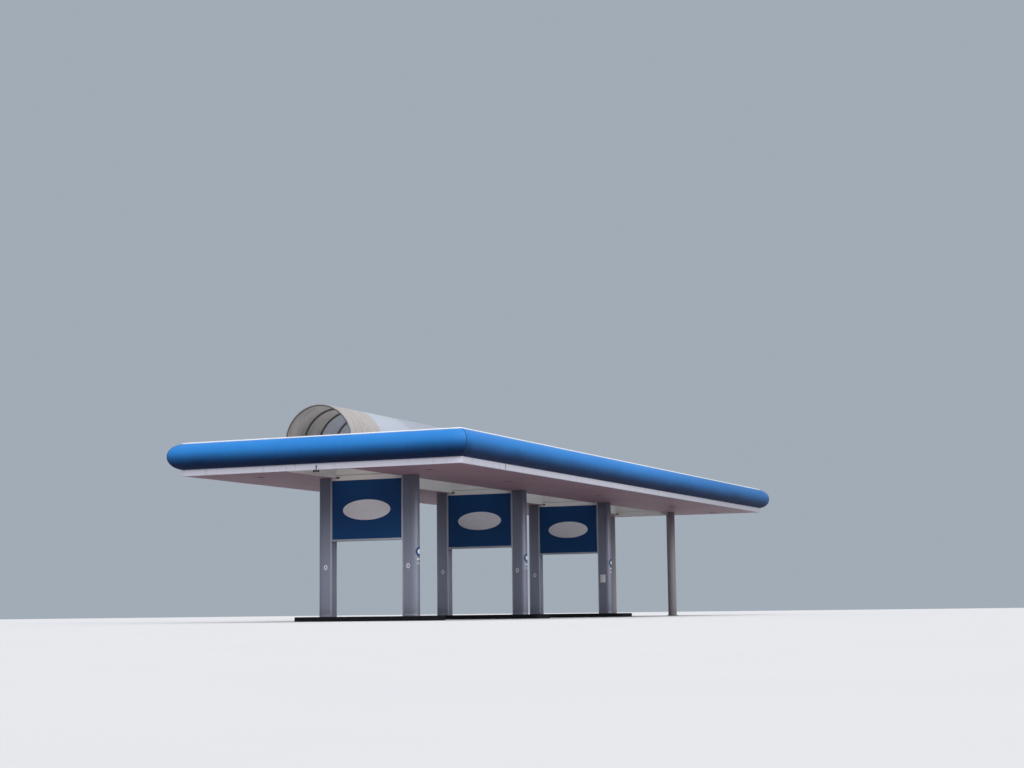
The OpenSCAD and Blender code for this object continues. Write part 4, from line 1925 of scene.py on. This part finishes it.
@dataclass(frozen=True)
class Studio:
    """Pale floor, soft light and the camera.

    The floor throws back the light of bounce, though it is seen in its own pale colour.
    """

    floor_size: float = 600.0
    floor_color: Color = (0.60, 0.61, 0.62)
    floor_patch: Color = (0.66, 0.66, 0.67)
    bounce: Color = (0.17, 0.14, 0.153)
    sky: Color = (0.84, 0.89, 1.0)
    sky_strength: Span = (0.22, 0.62)
    sky_rise: Span = (0.0, 0.5)
    backdrop: Color = (0.36, 0.41, 0.47)
    lamps: tuple[Lamp, ...] = (
        Lamp((0.18, -0.28, 0.94), 1.9, 50.0), Lamp((0.90, -0.30, 0.31), 1.25, 30.0),
        Lamp((0.08, -0.87, 0.49), 0.70, 26.0))
    lamp_color: Color = (1.0, 0.97, 0.94)
    turn: Triple = (23.7324, 7.2963, -0.6622)
    place: Triple = (27.8967, -64.4111, 0.2218)
    lens: float = 62.768

    def seen(self, g: Nodes) -> Val:
        """One for rays that show the surroundings: straight, mirrored or passed on."""
        camera, mirrored, passed = (
            g.node("ShaderNodeLightPath", output=name)
            for name in ("Is Camera Ray", "Is Glossy Ray", "Is Transmission Ray"))
        return (camera + mirrored + passed).between(0.0, 1.0)

    def floor(self) -> None:
        """Makes the floor: pale where it is seen, dull in the light that it throws back."""
        g, half = Graph("floor"), self.floor_size / 2
        patches = g.mix(self.floor_color, self.floor_patch, g.noise(scale=0.6, detail=4.0) * 0.5)
        pale = g.node("ShaderNodeBsdfDiffuse", {}, {"Color": patches})
        dull = g.node("ShaderNodeBsdfDiffuse", {}, {"Color": self.bounce})
        mesh = bpy.data.meshes.new("floor")
        corners = square_outline((-half, -half), (half, half))
        mesh.from_pydata([(x, y, 0) for x, y in corners], [], [(0, 1, 2, 3)])
        mesh.materials.append(g.finish(g.blend(dull, pale, self.seen(g))))
        floor = linked("floor", mesh)

    def world(self) -> None:
        """Sets the sky: soft light on the object, a pale plain backdrop to the eye."""
        world = bpy.data.worlds.new("sky")
        bpy.context.scene.world = world
        world.use_nodes = True
        g = Nodes(world.node_tree)
        around = g.node("ShaderNodeTexCoord", output="Generated")
        rise = g.node("ShaderNodeSeparateXYZ", {}, {0: around}, 2).between(*self.sky_rise)
        low, high = self.sky_strength
        light = g.node("ShaderNodeBackground", {}, {
            "Color": self.sky, "Strength": rise * (high - low) + low})
        plain = g.node("ShaderNodeBackground", {}, {"Color": self.backdrop, "Strength": 1.0})
        g.end("ShaderNodeOutputWorld", g.blend(light, plain, self.seen(g)))

    def lighting(self) -> None:
        """Adds the broad lamps: one from above, one low from the right, one low from the front."""
        for number, lamp in enumerate(self.lamps):
            data = bpy.data.lights.new(f"broad_lamp_{number}", "SUN")
            data.energy, data.color = lamp.strength, self.lamp_color
            data.angle = math.radians(lamp.width)
            turned = Vector(lamp.toward).to_track_quat("Z", "Y").to_euler()
            linked(data.name, data).rotation_euler = turned

    def camera(self) -> None:
        """Places the camera from its turn (yaw, pitch and roll in degrees), place and lens."""
        yaw, pitch, roll = (math.radians(angle) for angle in self.turn)
        level = Vector((math.cos(yaw), math.sin(yaw), 0))
        ahead = Vector((-math.sin(yaw) * math.cos(pitch), math.cos(yaw) * math.cos(pitch),
                        math.sin(pitch)))
        upright = level.cross(ahead)
        right = math.cos(roll) * level + math.sin(roll) * upright
        top = -math.sin(roll) * level + math.cos(roll) * upright
        data = bpy.data.cameras.new("camera")
        data.lens, data.sensor_width, data.clip_end = self.lens, 36.0, 2000.0
        matrix = Matrix((right, top, -ahead)).transposed().to_4x4()
        matrix.translation = Vector(self.place)
        camera = linked("camera", data)
        camera.matrix_world = matrix
        bpy.context.scene.camera = camera

    def build(self) -> None:
        """Sets up floor, world, lamps and camera."""
        self.floor()
        self.world()
        self.lighting()
        self.camera()
        bpy.context.scene.view_settings.view_transform = "Standard"


def main() -> None:
    """Builds the canopy assembly by assembly, reports each piece, and sets up the studio."""
    logging.basicConfig(level=logging.INFO, format="%(name)s: %(message)s")
    plan = Layout.read()
    for kind in (Islands, Columns, Signs, Casings, Ceiling, SlotWalls, Deck, Fascia, Vault, Lights):
        assembly = kind(plan)
        assembly.build()
        for piece, nodes in assembly.made:
            stands_for = ", ".join(nodes) or "itself"
            LOG.info("%s: %d faces, for %s", piece.name, len(piece.data.polygons), stands_for)
    Studio().build()


if __name__ == "__main__":
    main()
